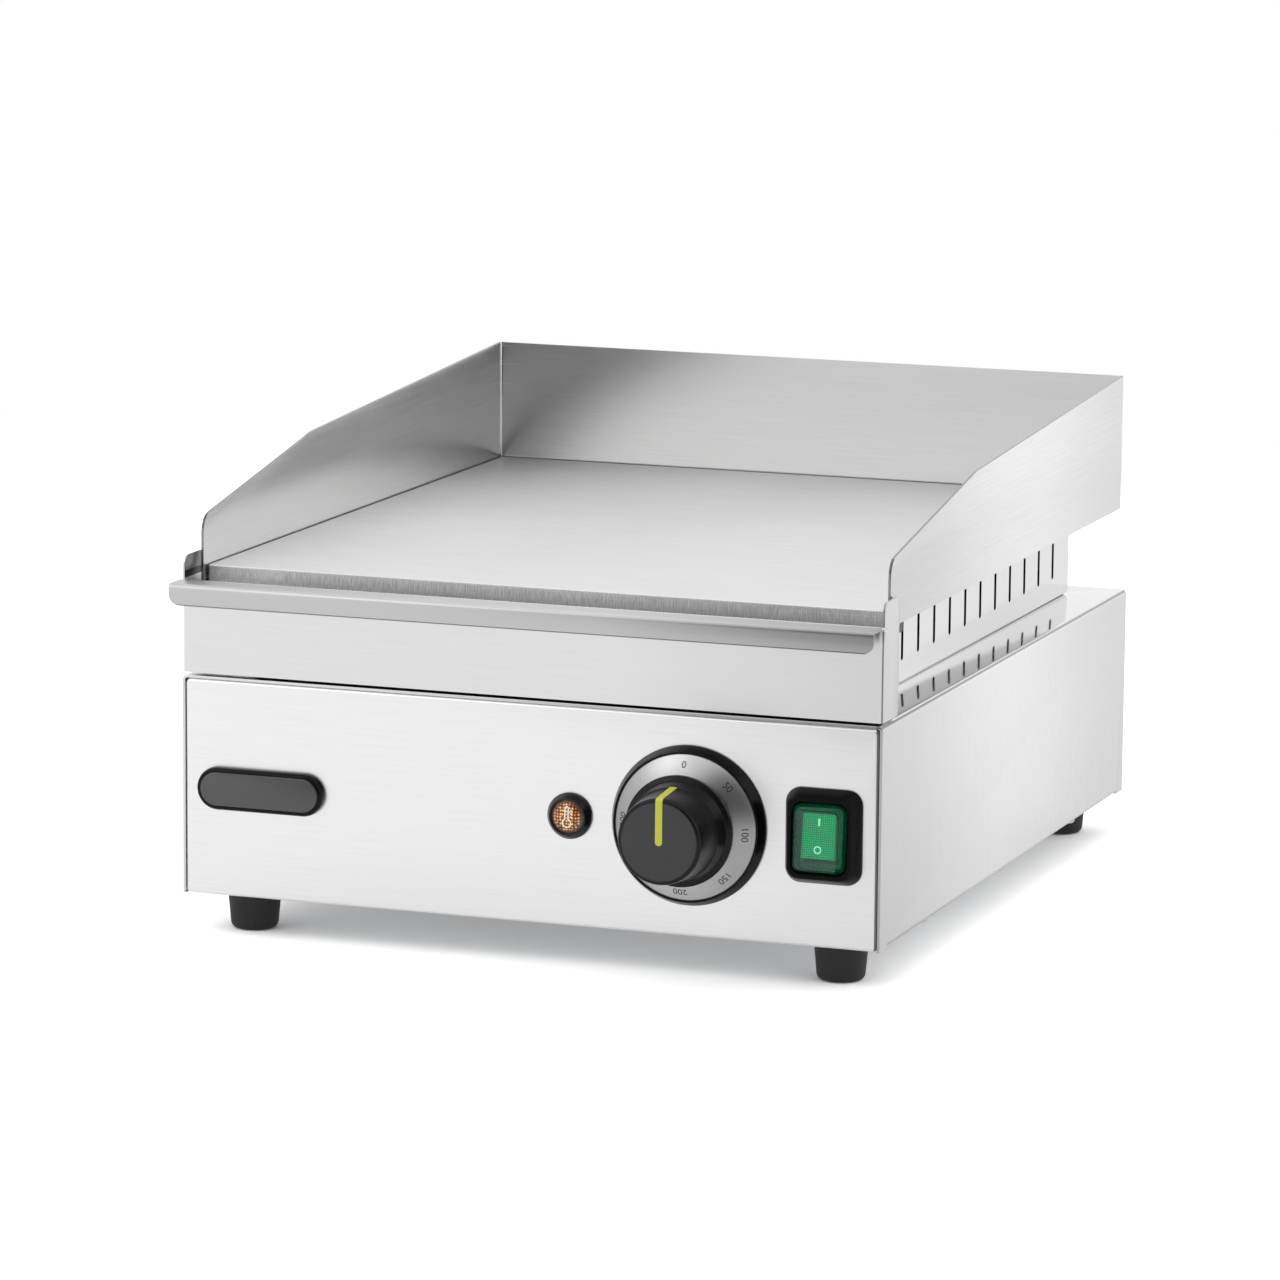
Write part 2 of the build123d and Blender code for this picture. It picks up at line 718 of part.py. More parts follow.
def make_ferrule(x, y):
    radius = ferrule_diameter / 2
    low = deck_under - ferrule_nut_height - ferrule_tail
    body = rod_z(radius, x, y, low, casing_height + ferrule_collar)
    body = body + rod_z(ferrule_collar_diameter / 2, x, y, casing_height, casing_height + ferrule_collar)
    body = body + hex_z(ferrule_nut_flats, x, y, deck_under - ferrule_nut_height, deck_under)
    return body - rod_z(element_radius + ferrule_bore_clearance, x, y, low - 1, casing_height + ferrule_collar + 1)


def make_clamp(y):
    half = element_outer_x + clamp_overhang
    outline = Pos(0, y) * RectangleRounded(2 * half, clamp_depth, clamp_depth / 5)
    bar = along_z(outline, clamp_low, clamp_top)
    holes = [rod_z(stud_diameter / 2 + screw_clearance, x, hole_y, clamp_low - 1, clamp_top + 1)
             for x, hole_y in clamp_stud_places if hole_y == y]
    return cut_all(bar, holes)


def make_bulb():
    radius = bulb_diameter / 2
    z = plate_under - element_gap - radius
    bulb = rod_y(radius, bulb_x, z, bulb_front, bulb_front + bulb_length)
    return fillet(bulb.edges(), radius * 0.4)


def make_bulb_clip():
    radius = bulb_diameter / 2 + element_gap
    z = plate_under - element_gap - bulb_diameter / 2
    outer = Pos(bulb_x, z) * Circle(radius + clip_sheet)
    skirt = Pos(bulb_x, (z + plate_under) / 2) * Rectangle(2 * (radius + clip_sheet), plate_under - z)
    feet = Pos(bulb_x, plate_under - clip_sheet / 2) * Rectangle(2 * (radius + clip_foot), clip_sheet)
    room = Pos(bulb_x, z) * Circle(radius) + Pos(bulb_x, (z + plate_under) / 2) * Rectangle(2 * radius, plate_under - z)
    above = Pos(bulb_x, plate_under + radius) * Rectangle(4 * radius + 4 * clip_foot, 2 * radius)
    middle = bulb_front + bulb_length / 2
    return along_y((outer + skirt + feet) - room - above, middle - clip_depth / 2, middle + clip_depth / 2)


def make_capillary():
    z = plate_under - element_gap - bulb_diameter / 2
    stat_rear = casing_sheet + stat_plate + stat_block_depth + stat_cup_depth
    points = [(bulb_x, bulb_front + bulb_length, z), (bulb_x, capillary_drop_y, z),
              (bulb_x, capillary_drop_y, capillary_run_z), (bulb_x, capillary_cross_y, capillary_run_z),
              (dial_x, capillary_cross_y, capillary_run_z), (dial_x, stat_rear, capillary_run_z)]
    path = FilletPolyline(*points, radius=capillary_bend)
    return sweep(Plane(origin=points[0], z_dir=(0, 1, 0)) * Circle(capillary_diameter / 2), path=path)


def make_mat():
    outline = Pos(0, (mat_front + mat_rear) / 2) * RectangleRounded(2 * mat_half, mat_rear - mat_front, mat_corner_radius)
    mat = along_z(outline, casing_height, casing_height + mat_thickness)
    return mat - rod_z(capillary_diameter * 1.5, bulb_x, capillary_drop_y, casing_height - 1,
                       casing_height + mat_thickness + 1)


def make_thermostat_body():
    y = casing_sheet
    plate = along_y(Pos(dial_x, control_height) * RectangleRounded(stat_width, stat_height, 1.5 * stat_corner_radius),
                    y, y + stat_plate)
    y += stat_plate
    body = along_y(Pos(dial_x, control_height) * RectangleRounded(stat_block_width, stat_block_height, stat_corner_radius),
                   y, y + stat_block_depth)
    y += stat_block_depth
    cup = rod_y(stat_cup_diameter / 2, dial_x, control_height, y, y + stat_cup_depth)
    blades = [blade_along_x(dial_x + side * stat_blade_spread / 2, y - blade_reach,
                            (control_height - stat_block_height / 2 - stat_blade_drop, control_height))
              for side in (-1, 1)]
    bore = rod_y(shaft_diameter / 2 + shaft_gap, dial_x, control_height, 0, shaft_rear + 1)
    spread = stat_screw_spread / 2
    threads = [rod_y(small_screw_diameter / 2 + thread_gap, dial_x + side * spread, control_height, 0, stat_thread_depth)
               for side in (-1, 1)]
    return cut_all(join([plate, body, cup] + blades), [bore] + threads)


def shaft_outline(gap):
    radius = shaft_diameter / 2 + gap
    flat = Pos(0, shaft_diameter / 2 - shaft_flat + gap + radius) * Rectangle(2 * radius, 2 * radius)
    return Pos(dial_x, control_height) * (Circle(radius) - flat)


def make_thermostat_shaft():
    turned_end = rod_y(shaft_diameter / 2, dial_x, control_height, -knob_boss_y + 1, shaft_rear)
    return turned_end + along_y(shaft_outline(0), -shaft_front, -knob_boss_y + 1)


def make_bezel():
    bore = dial_inner_diameter / 2
    seat = dial_sheet + thread_gap
    outer, edge = bezel_diameter / 2, bezel_top_diameter / 2
    dial_edge = dial_outer_diameter / 2 + thread_gap
    return turned([(bore, 0), (outer, 0), (outer, -bezel_rim), (edge, -bezel_height), (dial_edge, -bezel_height),
                   (dial_edge, -dial_edge_height + seat), (bore, -dial_inner_height + seat)],
                  dial_x, control_height)


def make_dial_ring():
    bore, edge = dial_inner_diameter / 2, dial_outer_diameter / 2
    return turned([(bore, -dial_inner_height), (edge, -dial_edge_height), (edge, -dial_edge_height + dial_sheet),
                   (bore, -dial_inner_height + dial_sheet)], dial_x, control_height)


def knob_block(grow):
    # the knob's outer shape as a solid, made larger all round by grow
    face = knob_face_diameter / 2 + grow
    front = -knob_reach - grow
    end = -knob_skirt_y + knob_skirt_depth
    skirt = knob_skirt_diameter / 2 + grow
    waist = (knob_waist_diameter / 2 + grow, -knob_waist_y)
    flare = (knob_flare_diameter / 2 + grow, -knob_flare_y)
    outline = flat([(0, front), (face, front), waist, flare, (skirt, -knob_skirt_y), (skirt, end), (0, end)])
    outline = corner_radius(outline, (face, front), knob_face_rounding + grow)
    outline = corner_radius(outline, waist, knob_waist_rounding)
    return Pos(dial_x, 0, control_height) * revolve(Plane.XY * outline, axis=Axis.Y)


def pointer_prism(half):
    outline = Pos(dial_x, control_height + knob_face_diameter / 2) * Rectangle(2 * half, knob_face_diameter)
    outline = outline + Pos(dial_x, control_height) * Circle(half)
    return along_y(outline, -knob_reach - 5, -pointer_end_y)


def make_knob():
    solid = knob_block(0)
    end = -knob_skirt_y + knob_skirt_depth
    wall = knob_wall
    inside = -knob_reach + 2 * wall
    hollow = [(0, end + 1), (knob_flare_diameter / 2 - wall, end + 1), (knob_flare_diameter / 2 - wall, -knob_flare_y),
              (knob_waist_diameter / 2 - wall, -knob_waist_y), (knob_face_diameter / 2 - wall, inside), (0, inside)]
    solid = solid - turned(hollow, dial_x, control_height)
    solid = solid + rod_y(knob_boss_diameter / 2, dial_x, control_height, inside - 1, -knob_boss_y)
    solid = solid - along_y(shaft_outline(shaft_gap), -shaft_front - free_gap, 0)
    groove = knob_block(1) - knob_block(-pointer_depth)
    return solid - (groove & pointer_prism(pointer_width / 2))


def make_pointer():
    skin = knob_block(pointer_proud) - knob_block(-pointer_depth + thread_gap)
    return skin & pointer_prism(pointer_width / 2 - thread_gap)


def make_lamp_bezel():
    bore, base, top = lens_diameter / 2 + lens_gap, lamp_bezel_diameter / 2, lamp_bezel_top_diameter / 2
    profile = flat([(bore, 0), (base, 0), (base, -lamp_bezel_height * 0.3), (top, -lamp_bezel_height),
                         (bore, -lamp_bezel_height)])
    profile = corner_radius(profile, (base, -lamp_bezel_height * 0.3), lamp_bezel_rounding)
    return Pos(lamp_x, 0, control_height) * revolve(Plane.XY * profile, axis=Axis.Y)


def make_lens():
    edge = lens_diameter / 2
    outline = flat([(0, 0), (edge, 0), (edge, -lens_edge_height), (edge * 0.5, -lens_crown_height), (0, -lens_crown_height)])
    outline = corner_radius(outline, (edge * 0.5, -lens_crown_height), edge)
    return Pos(lamp_x, 0, control_height) * revolve(Plane.XY * outline, axis=Axis.Y)


def make_lamp_body():
    barrel = rod_y(lens_diameter / 2, lamp_x, control_height, 0, lamp_body_length)
    half = lamp_blade_width / 2
    blades = [block((x - half, x + half), (lamp_body_length, lamp_body_length + blade_reach),
                    (control_height - blade_thickness / 2, control_height + blade_thickness / 2))
              for x in (lamp_x - lamp_blade_spread / 2, lamp_x + lamp_blade_spread / 2)]
    return join([barrel] + blades)


def make_lamp_nut():
    y = (casing_sheet, casing_sheet + lamp_nut_height)
    return hex_y(lamp_nut_flats, lamp_x, control_height, *y) - rod_y(lens_diameter / 2 + thread_gap, lamp_x, control_height,
                                                                     y[0] - 1, y[1] + 1)


def rounded(width, height, radius):
    return Pos(switch_x, control_height) * RectangleRounded(width, height, radius)


def tilted_face(width, height, radius, y, tilt):
    # a rounded rectangle across the controls' centre line, leaning so that its lower edge stands proud
    facing = (0, -cos(radians(tilt)), sin(radians(tilt)))
    return Plane(origin=(switch_x, -y, control_height), x_dir=(1, 0, 0), z_dir=facing) * RectangleRounded(width, height, radius)


def make_switch_body():
    radius = switch_corner_radius
    flange = along_y(rounded(switch_flange_width, switch_flange_height, 1.5 * radius), -switch_flange, 0)
    bezel = along_y(rounded(switch_bezel_width, switch_bezel_height, radius), -switch_bezel_front, -switch_flange)
    gap = 2 * switch_body_gap
    case = along_y(rounded(switch_cutout_width - gap, switch_cutout_height - gap, radius), 0, switch_body_depth)
    blades = [blade_along_z(switch_x + side * switch_blade_spread / 2,
                            (switch_body_depth, switch_body_depth + blade_reach), control_height + shift)
              for side in (-1, 1) for shift in (-switch_blade_pitch, 0)]
    room = along_y(rounded(rocker_width + 2 * rocker_side_gap, rocker_height + 2 * rocker_end_gap, radius),
                   -switch_bezel_front - 1, rocker_pivot_y + rocker_room)
    reach = rocker_width / 2 + rocker_side_gap + rocker_pin_reach
    bearing = rod_x(rocker_pin_diameter / 2 + rocker_pin_gap, rocker_pivot_y, control_height,
                    switch_x - reach, switch_x + reach)
    return cut_all(join([flange, bezel, case] + blades), [room, bearing])


def make_rocker():
    # drawn level, about its own pivot, then tipped so that the upper half is pressed in
    front = -(rocker_face_y + rocker_pivot_y)
    half = rocker_height / 2
    side = flat([(front, -half), (front, half), (front + rocker_skirt, half), (rocker_heel, half / 2),
                 (rocker_heel, -half / 2), (front + rocker_skirt, -half)])
    body = along_x(side, -rocker_width / 2, rocker_width / 2)
    body = fillet(body.faces().sort_by(Axis.Y)[0].edges(), rocker_edge_radius)
    reach = rocker_width / 2 + rocker_side_gap + rocker_pin_reach - rocker_pin_end_gap
    body = body + rod_x(rocker_pin_diameter / 2, 0, 0, -reach, reach)
    return Pos(switch_x, rocker_pivot_y, control_height) * Rot(-rocker_tilt, 0, 0) * body


def make_boot_frame():
    base = along_y(rounded(frame_width, frame_height, frame_corner_radius), -frame_edge, 0)
    slope = loft([Plane(origin=(0, -frame_edge, 0), x_dir=(1, 0, 0), z_dir=(0, -1, 0))
                  * rounded(frame_width, frame_height, frame_corner_radius),
                  tilted_face(frame_front_width, frame_front_height, frame_front_radius, frame_front_y, boot_tilt)])
    opening = along_y(rounded(cover_width + 2 * cover_gap, cover_height + 2 * cover_gap, cover_corner_radius + cover_gap),
                      -frame_front_y - 4, 1)
    recess = along_y(rounded(switch_flange_width + 2 * cover_gap, switch_flange_height + 2 * cover_gap, 1.5),
                     -switch_flange - cover_gap, 1)
    return base + slope - opening - recess


def make_boot_cover():
    def shell(inset, shoulder, face, low):
        straight = along_y(rounded(cover_width - 2 * inset, cover_height - 2 * inset, cover_corner_radius - inset),
                           -shoulder, -low)
        cap = loft([Plane(origin=(0, -shoulder, 0), x_dir=(1, 0, 0), z_dir=(0, -1, 0))
                    * rounded(cover_width - 2 * inset, cover_height - 2 * inset, cover_corner_radius - inset),
                    tilted_face(cover_face_width - 2 * inset, cover_face_height - 2 * inset, cover_face_radius - inset,
                                face, boot_tilt)])
        return straight + cap
    outer = shell(0, cover_shoulder_y, cover_face_y, switch_flange)
    inner = shell(cover_wall, cover_shoulder_y - cover_wall * 0.3, cover_face_y - cover_wall, switch_flange - 1)
    return outer - inner


def make_badge():
    outline = Pos(badge_x, badge_z) * SlotOverall(badge_length, badge_height)
    badge = along_y(outline, -badge_thickness, 0)
    return fillet(badge.faces().sort_by(Axis.Y)[0].edges(), badge_edge_radius)


def make_drawer_front():
    low, top = drawer_floor, casing_height + drawer_top
    bend_out = drawer_bend + drawer_sheet
    shoulder = top - bend_out
    plan = [(-half_width, 2 * bend_out), (-half_width, 0), (half_width, 0), (half_width, 2 * bend_out)]
    web = along_z(bent_section(plan, drawer_sheet, drawer_bend, 1), low, shoulder)
    inner, front = top - drawer_sheet, drawer_sheet - lip_reach
    line = [(0, shoulder - 2), (0, inner), (front, inner), (front, top - lip_drop)]
    lip = along_x(bent_section(line, drawer_sheet, drawer_bend, -1), -half_width, half_width)
    ends = [edge for edge in lip.edges().filter_by(Axis.Y)
            if abs(edge.center().Z - (top - lip_drop)) < 0.01 and abs(edge.center().X) > half_width - 0.01]
    lip = fillet(ends, lip_end_radius)
    ear = flat([(2 * bend_out, low), (ear_depth, low), (ear_depth, casing_height + ear_height),
                (ear_front, casing_height + ear_height), (ear_front, shoulder), (2 * bend_out, shoulder)])
    ear = corner_radius(ear, (ear_depth, low), ear_foot_radius)
    ear = corner_radius(ear, (ear_depth, casing_height + ear_height), ear_rear_radius)
    ear = corner_radius(ear, (ear_front, casing_height + ear_height), ear_front_radius)
    whole = web + lip
    for side in (-1, 1):
        relief = block(sorted((side * (half_width - bend_out), side * (half_width + 1))), (-1, 2), (shoulder - 3, shoulder))
        corner = block(sorted((side * (half_width - bend_out - 1), side * (half_width + 1))), (-1, 2 * bend_out + 1), (0, low))
        whole = whole - (relief - web) - corner
        whole = whole + along_x(ear, *sorted((side * (half_width - drawer_sheet), side * half_width)))
    return whole


def make_drawer_tray():
    low, high = drawer_floor, drawer_floor + tray_height
    front = drawer_sheet
    half = chamber_inner - tray_side_gap
    wide = half_width - drawer_sheet

    def plan(inset):
        neck = Pos(0, (front + tray_depth) / 2) * RectangleRounded(2 * (half - inset), tray_depth - front - 2 * inset,
                                                                  tray_corner_radius - inset)
        gutter = Pos(0, (front + ear_depth) / 2) * RectangleRounded(2 * (wide - inset), ear_depth - front - 2 * inset,
                                                                    gutter_corner_radius - inset)
        return neck + gutter
    return along_z(plan(0), low, high) - along_z(plan(drawer_sheet), low + drawer_sheet, high + 1)


def make_terminal_block():
    low = base_top
    body = block((block_x - block_length / 2, block_x + block_length / 2),
                 (block_y - block_depth / 2, block_y + block_depth / 2), (low, low + block_height))
    body = fillet(body.faces().sort_by(Axis.Z)[-1].edges(), block_edge_radius)
    poles = [block_x + block_pitch * (index - (block_poles - 1) / 2) for index in range(block_poles)]
    bores = [rod_y(block_bore_diameter / 2, x, low + block_height * 0.45, block_y - block_depth, block_y + block_depth)
             for x in poles]
    return cut_all(body, bores)


def make_earth_stud():
    stud = rod_z(earth_diameter / 2, earth_x, earth_y, base_top, base_top + earth_length)
    washer_top = base_top + earth_washer
    washer = rod_z(earth_diameter, earth_x, earth_y, base_top, washer_top)
    nut = hex_z(earth_diameter * 1.6, earth_x, earth_y, washer_top, washer_top + earth_nut_height)
    return join([stud, washer, nut])


def make_thermal_cutout():
    under = deck_under - cutout_flange
    flange = block((cutout_x - cutout_flange_width / 2, cutout_x + cutout_flange_width / 2),
                   (cutout_y - cutout_flange_depth / 2, cutout_y + cutout_flange_depth / 2), (under, deck_under))
    cup = rod_z(cutout_diameter / 2, cutout_x, cutout_y, under - cutout_height, under)
    half = blade_thickness / 2
    blades = [block((x - half, x + half), (cutout_y - blade_width / 2, cutout_y + blade_width / 2),
                    (under - cutout_height - blade_reach, under - cutout_height))
              for x in (cutout_x - cutout_blade_spread / 2, cutout_x + cutout_blade_spread / 2)]
    return join([flange, cup] + blades)


def make_gland():
    outside = casing_depth + rear_sheet
    bore = rod_y(gland_bore_diameter / 2, gland_x, gland_z, outside - gland_thread_length - 1, casing_depth + rear_reach + 1)
    thread = rod_y(gland_thread_diameter / 2, gland_x, gland_z, outside - gland_thread_length, outside)
    flange = hex_y(gland_flats, gland_x, gland_z, outside, outside + gland_flange)
    dome = rod_y(gland_dome_diameter / 2, gland_x, gland_z, outside + gland_flange, casing_depth + rear_reach)
    dome = fillet(dome.faces().sort_by(Axis.Y)[-1].edges(), gland_dome_rounding)
    return join([thread, flange, dome]) - bore


def make_gland_nut():
    low = casing_depth - gland_flange
    nut = hex_y(gland_flats, gland_x, gland_z, low, casing_depth)
    return nut - rod_y(gland_thread_diameter / 2 + thread_gap, gland_x, gland_z, low - 1, casing_depth + 1)


nodes = {
    "outer_casing": make_casing(),
    "front_panel": make_front_panel(),
    "rear_panel": make_rear_panel(),
    "base_plate": make_base_plate(),
    "foot_screws": group([make_foot_screw(x, y) for x, y in foot_places.values()]),
    "foot_nuts": group([small_nut(x, y, base_top) for x, y in foot_places.values()]),
    "base_screws": group([screw_up(x, y, 0, base_top + point_reach) for x, y in base_screw_places]),
    "rear_screws": group([screw_forward(x, z, casing_depth + rear_sheet, sheet_screw_length, -1)
                          for x, z in rear_screw_places]),
    "heat_chamber": make_heat_chamber(),
    "front_rail": make_front_rail(),
    "griddle_plate": make_plate(),
    "splash_guard": make_guard(),
    "guard_welds": make_guard_welds(),
    "plate_studs": group([rod_z(stud_diameter / 2, x, y, plate_under - stud_reach, plate_under)
                          for x, y in stud_places]),
    "stud_nuts": group([stud_nut(x, y, plate_under - chamber_sheet) for x, y in stud_places]),
    "heating_element": make_element(),
    "element_pins": group([rod_z(pin_diameter / 2, x, y, casing_height - element_leg_length - pin_length,
                                 casing_height - element_leg_length) for x, y in leg_places]),
    "element_ferrules": group([make_ferrule(x, y) for x, y in leg_places]),
    "element_clamps": group([make_clamp(y) for y in (clamp_front_y, clamp_rear_y)]),
    "clamp_studs": group([rod_z(stud_diameter / 2, x, y, clamp_low - nut_height - stud_end_reach, plate_under)
                          for x, y in clamp_stud_places]),
    "clamp_nuts": group([stud_nut(x, y, clamp_low) for x, y in clamp_stud_places]),
    "sensing_bulb": make_bulb(),
    "bulb_clip": make_bulb_clip(),
    "capillary_tube": make_capillary(),
    "insulation_mat": make_mat(),
    "thermostat_body": make_thermostat_body(),
    "thermostat_shaft": make_thermostat_shaft(),
    "thermostat_screws": group([screw_forward(dial_x + side * stat_screw_spread / 2, control_height, 0,
                                               sheet_screw_length, 1)
                                for side in (-1, 1)]),
    "dial_bezel": make_bezel(),
    "dial_ring": make_dial_ring(),
    "control_knob": make_knob(),
    "knob_pointer": make_pointer(),
    "pilot_bezel": make_lamp_bezel(),
    "pilot_lens": make_lens(),
    "pilot_body": make_lamp_body(),
    "pilot_nut": make_lamp_nut(),
    "switch_body": make_switch_body(),
    "switch_rocker": make_rocker(),
    "boot_frame": make_boot_frame(),
    "boot_cover": make_boot_cover(),
    "badge_plate": make_badge(),
    "drawer_front": make_drawer_front(),
    "drawer_tray": make_drawer_tray(),
    "terminal_block": make_terminal_block(),
    "earth_stud": make_earth_stud(),
    "thermal_cutout": make_thermal_cutout(),
    "cord_gland": make_gland(),
    "gland_nut": make_gland_nut(),
}
nodes.update({name: make_foot(x, y) for name, (x, y) in foot_places.items()})

os.makedirs("parts", exist_ok=True)
for name, shape in nodes.items():
    export_step(place(shape), f"parts/{name}.step")
    print(name)
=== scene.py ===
import json
import math
import bmesh
import bpy
from mathutils import Matrix, Vector


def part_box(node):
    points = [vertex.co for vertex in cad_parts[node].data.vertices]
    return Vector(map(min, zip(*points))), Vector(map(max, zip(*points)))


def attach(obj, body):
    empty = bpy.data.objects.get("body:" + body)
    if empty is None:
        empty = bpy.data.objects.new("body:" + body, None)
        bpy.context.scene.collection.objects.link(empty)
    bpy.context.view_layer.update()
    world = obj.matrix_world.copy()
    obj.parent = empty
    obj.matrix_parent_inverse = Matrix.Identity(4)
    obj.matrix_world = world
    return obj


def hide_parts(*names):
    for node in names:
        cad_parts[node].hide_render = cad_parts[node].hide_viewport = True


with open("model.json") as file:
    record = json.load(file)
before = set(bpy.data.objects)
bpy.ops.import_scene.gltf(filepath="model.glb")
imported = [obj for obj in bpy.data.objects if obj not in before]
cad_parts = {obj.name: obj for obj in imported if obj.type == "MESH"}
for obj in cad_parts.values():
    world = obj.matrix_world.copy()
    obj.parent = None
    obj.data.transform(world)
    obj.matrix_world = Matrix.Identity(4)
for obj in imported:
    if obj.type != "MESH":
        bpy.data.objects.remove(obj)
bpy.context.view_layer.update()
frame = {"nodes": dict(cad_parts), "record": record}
nodes = frame["nodes"]
bodyOf = {node: body for body, members in frame["record"]["behaviour"]["bodies"].items() for node in members}
mm = 0.001
sharpTurn = 34            # edges that turn further than this many degrees stay sharp
softSharpTurn = 40
mergeDistance = 1e-7


def centreOf(node):
    low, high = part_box(node)
    return (Vector(low) + Vector(high)) / 2


def pick(look, labels):
    return [look[label] for label in labels.split()]


def inMillimetres(sizes, **others):
    # sizes given in millimetres become metres; the others stay as they are
    metres = {label: tuple(part * mm for part in size) if isinstance(size, tuple) else size * mm
              for label, size in sizes.items()}
    return {**metres, **others}


def setUp(target, **settings):
    for label, value in settings.items():
        setattr(target, label, value)
    return target


def newObject(name, data):
    piece = bpy.data.objects.new(name, data)
    bpy.context.scene.collection.objects.link(piece)
    return piece


def finishPiece(piece, material, node=None, body=None, replaces=()):
    piece.data.materials.clear()
    piece.data.materials.append(material)
    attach(piece, body or bodyOf[node])
    if replaces:
        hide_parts(*replaces)
    return piece


def standFor(node, piece, paint):
    # the piece is shown in place of its CAD node
    return finishPiece(piece, paint.material, node=node, replaces=(node,))


def smoothBySharpness(mesh, degrees=sharpTurn):
    bm = bmesh.new()
    bm.from_mesh(mesh)
    limit = math.radians(degrees)
    for edge in bm.edges:
        edge.smooth = not (len(edge.link_faces) == 2 and edge.calc_face_angle(0) > limit)
    for face in bm.faces:
        face.smooth = True
    bm.to_mesh(mesh)
    bm.free()


def plainMesh(bm, name):
    mesh = bpy.data.meshes.new(name)
    bm.to_mesh(mesh)
    bm.free()
    return mesh


def closedMesh(bm, name, degrees=sharpTurn):
    # doubles merged and every face turned outward
    bmesh.ops.remove_doubles(bm, verts=bm.verts, dist=mergeDistance)
    bmesh.ops.recalc_face_normals(bm, faces=bm.faces)
    mesh = plainMesh(bm, name)
    if degrees:
        smoothBySharpness(mesh, degrees)
    return mesh


def evaluatedMesh(piece):
    return bpy.data.meshes.new_from_object(piece.evaluated_get(bpy.context.evaluated_depsgraph_get()))


def applyModifiers(piece):
    mesh = evaluatedMesh(piece)
    piece.modifiers.clear()
    piece.data = mesh
    smoothBySharpness(mesh)


def mergedCopy(node, paint, bevel=0.0):
    # a merged copy of a CAD node with softened cut edges, which then stands for the node
    bm = bmesh.new()
    bm.from_mesh(nodes[node].data)
    bmesh.ops.remove_doubles(bm, verts=bm.verts, dist=2e-6)
    bmesh.ops.dissolve_limit(bm, angle_limit=math.radians(0.4), verts=bm.verts, edges=bm.edges)
    piece = newObject(node + "Look", plainMesh(bm, node + "Look"))
    if bevel:
        setUp(piece.modifiers.new("softEdge", "BEVEL"), width=bevel, segments=2, limit_method="ANGLE",
              angle_limit=math.radians(50), use_clamp_overlap=True)
    applyModifiers(piece)
    standFor(node, piece, paint)


def between(first, second, share):
    return tuple(low + (high - low) * share for low, high in zip(first, second))


def roundedProfile(points, steps=6):
    # points are (across, along, radius); each corner with a radius becomes an arc
    result = []
    for index, (x, y, radius) in enumerate(points):
        here = Vector((x, y))
        if radius <= 0 or index in (0, len(points) - 1):
            result.append((x, y))
            continue
        before = Vector(points[index - 1][:2]) - here
        after = Vector(points[index + 1][:2]) - here
        angle = before.angle(after)
        reach = min(radius / math.tan(angle / 2), before.length * 0.98, after.length * 0.98)
        radius = reach * math.tan(angle / 2)
        start, end = here + before.normalized() * reach, here + after.normalized() * reach
        outward = (before.normalized() + after.normalized()).normalized()
        middle = here + outward * (radius / math.sin(angle / 2))
        sweep = (start - middle).angle_signed(end - middle)
        for step in range(steps + 1):
            turn = Matrix.Rotation(-sweep * step / steps, 2)
            result.append(tuple(middle + turn @ (start - middle)))
    return result


def turnedPiece(name, profile, centre, sides=96, axis="Y"):
    # profile is a list of (radius, along the axis), from one end of the axis to the other
    bm = bmesh.new()
    rings = []
    for radius, along in profile:
        ring = []
        for index in range(1 if radius < mergeDistance else sides):
            turn = 2 * math.pi * index / sides
            across, up = radius * math.cos(turn), radius * math.sin(turn)
            place = (across, along, up) if axis == "Y" else (across, up, along)
            ring.append(bm.verts.new(Vector(centre) + Vector(place)))
        rings.append(ring)
    for first, second in zip(rings, rings[1:]):
        for index in range(sides):
            after = (index + 1) % sides
            corners = [first[index % len(first)], first[after % len(first)],
                       second[after % len(second)], second[index % len(second)]]
            corners = [corner for place, corner in enumerate(corners) if corner not in corners[:place]]
            if len(corners) > 2:
                bm.faces.new(corners)
    return newObject(name, closedMesh(bm, name))


def arc(x, z, radius, start, sweep, steps):
    turns = [start + sweep * step / steps for step in range(steps + 1)]
    return [(x + radius * math.cos(turn), z + radius * math.sin(turn)) for turn in turns]


def roundedRectangle(width, height, radius, steps):
    points, quarter = [], math.pi / 2
    for number, (sideX, sideZ) in enumerate(((1, 1), (-1, 1), (-1, -1), (1, -1))):
        x, z = sideX * (width / 2 - radius), sideZ * (height / 2 - radius)
        points += arc(x, z, radius, number * quarter, quarter, steps)
    return points


def roundedEdge(steps):
    # how far inward and how far along each step of a rounded edge lies, from 0 to 1
    return [(1 - x, z) for x, z in arc(0, 0, 1, 0, math.pi / 2, steps)]


def bridge(bm, rings):
    # faces between each ring of points and the next
    for first, second in zip(rings, rings[1:]):
        for index in range(len(first)):
            after = (index + 1) % len(first)
            bm.faces.new((first[index], first[after], second[after], second[index]))


def layerRings(bm, layers, centre, steps):
    # layers are (width, height, corner radius, along Y, tilt in degrees); they are joined in order
    rings = []
    for width, height, radius, along, tilt in layers:
        lean = math.tan(math.radians(tilt))
        rings.append([bm.verts.new(Vector(centre) + Vector((x, along + z * lean, z)))
                      for x, z in roundedRectangle(width, height, radius, steps)])
    bridge(bm, rings)
    return rings


def layeredPiece(name, layers, centre, steps=8, capped=True):
    bm = bmesh.new()
    rings = layerRings(bm, layers, centre, steps)
    if capped:
        bm.faces.new(rings[0])
        bm.faces.new(rings[-1])
    return newObject(name, closedMesh(bm, name))


def textMesh(words, size, thickness):
    curve = setUp(bpy.data.curves.new("words", "FONT"), body=words, size=size, align_x="CENTER",
                  align_y="CENTER", extrude=thickness / 2, resolution_u=6)
    holder = newObject("words", curve)
    mesh = evaluatedMesh(holder)
    bpy.data.objects.remove(holder)
    return mesh


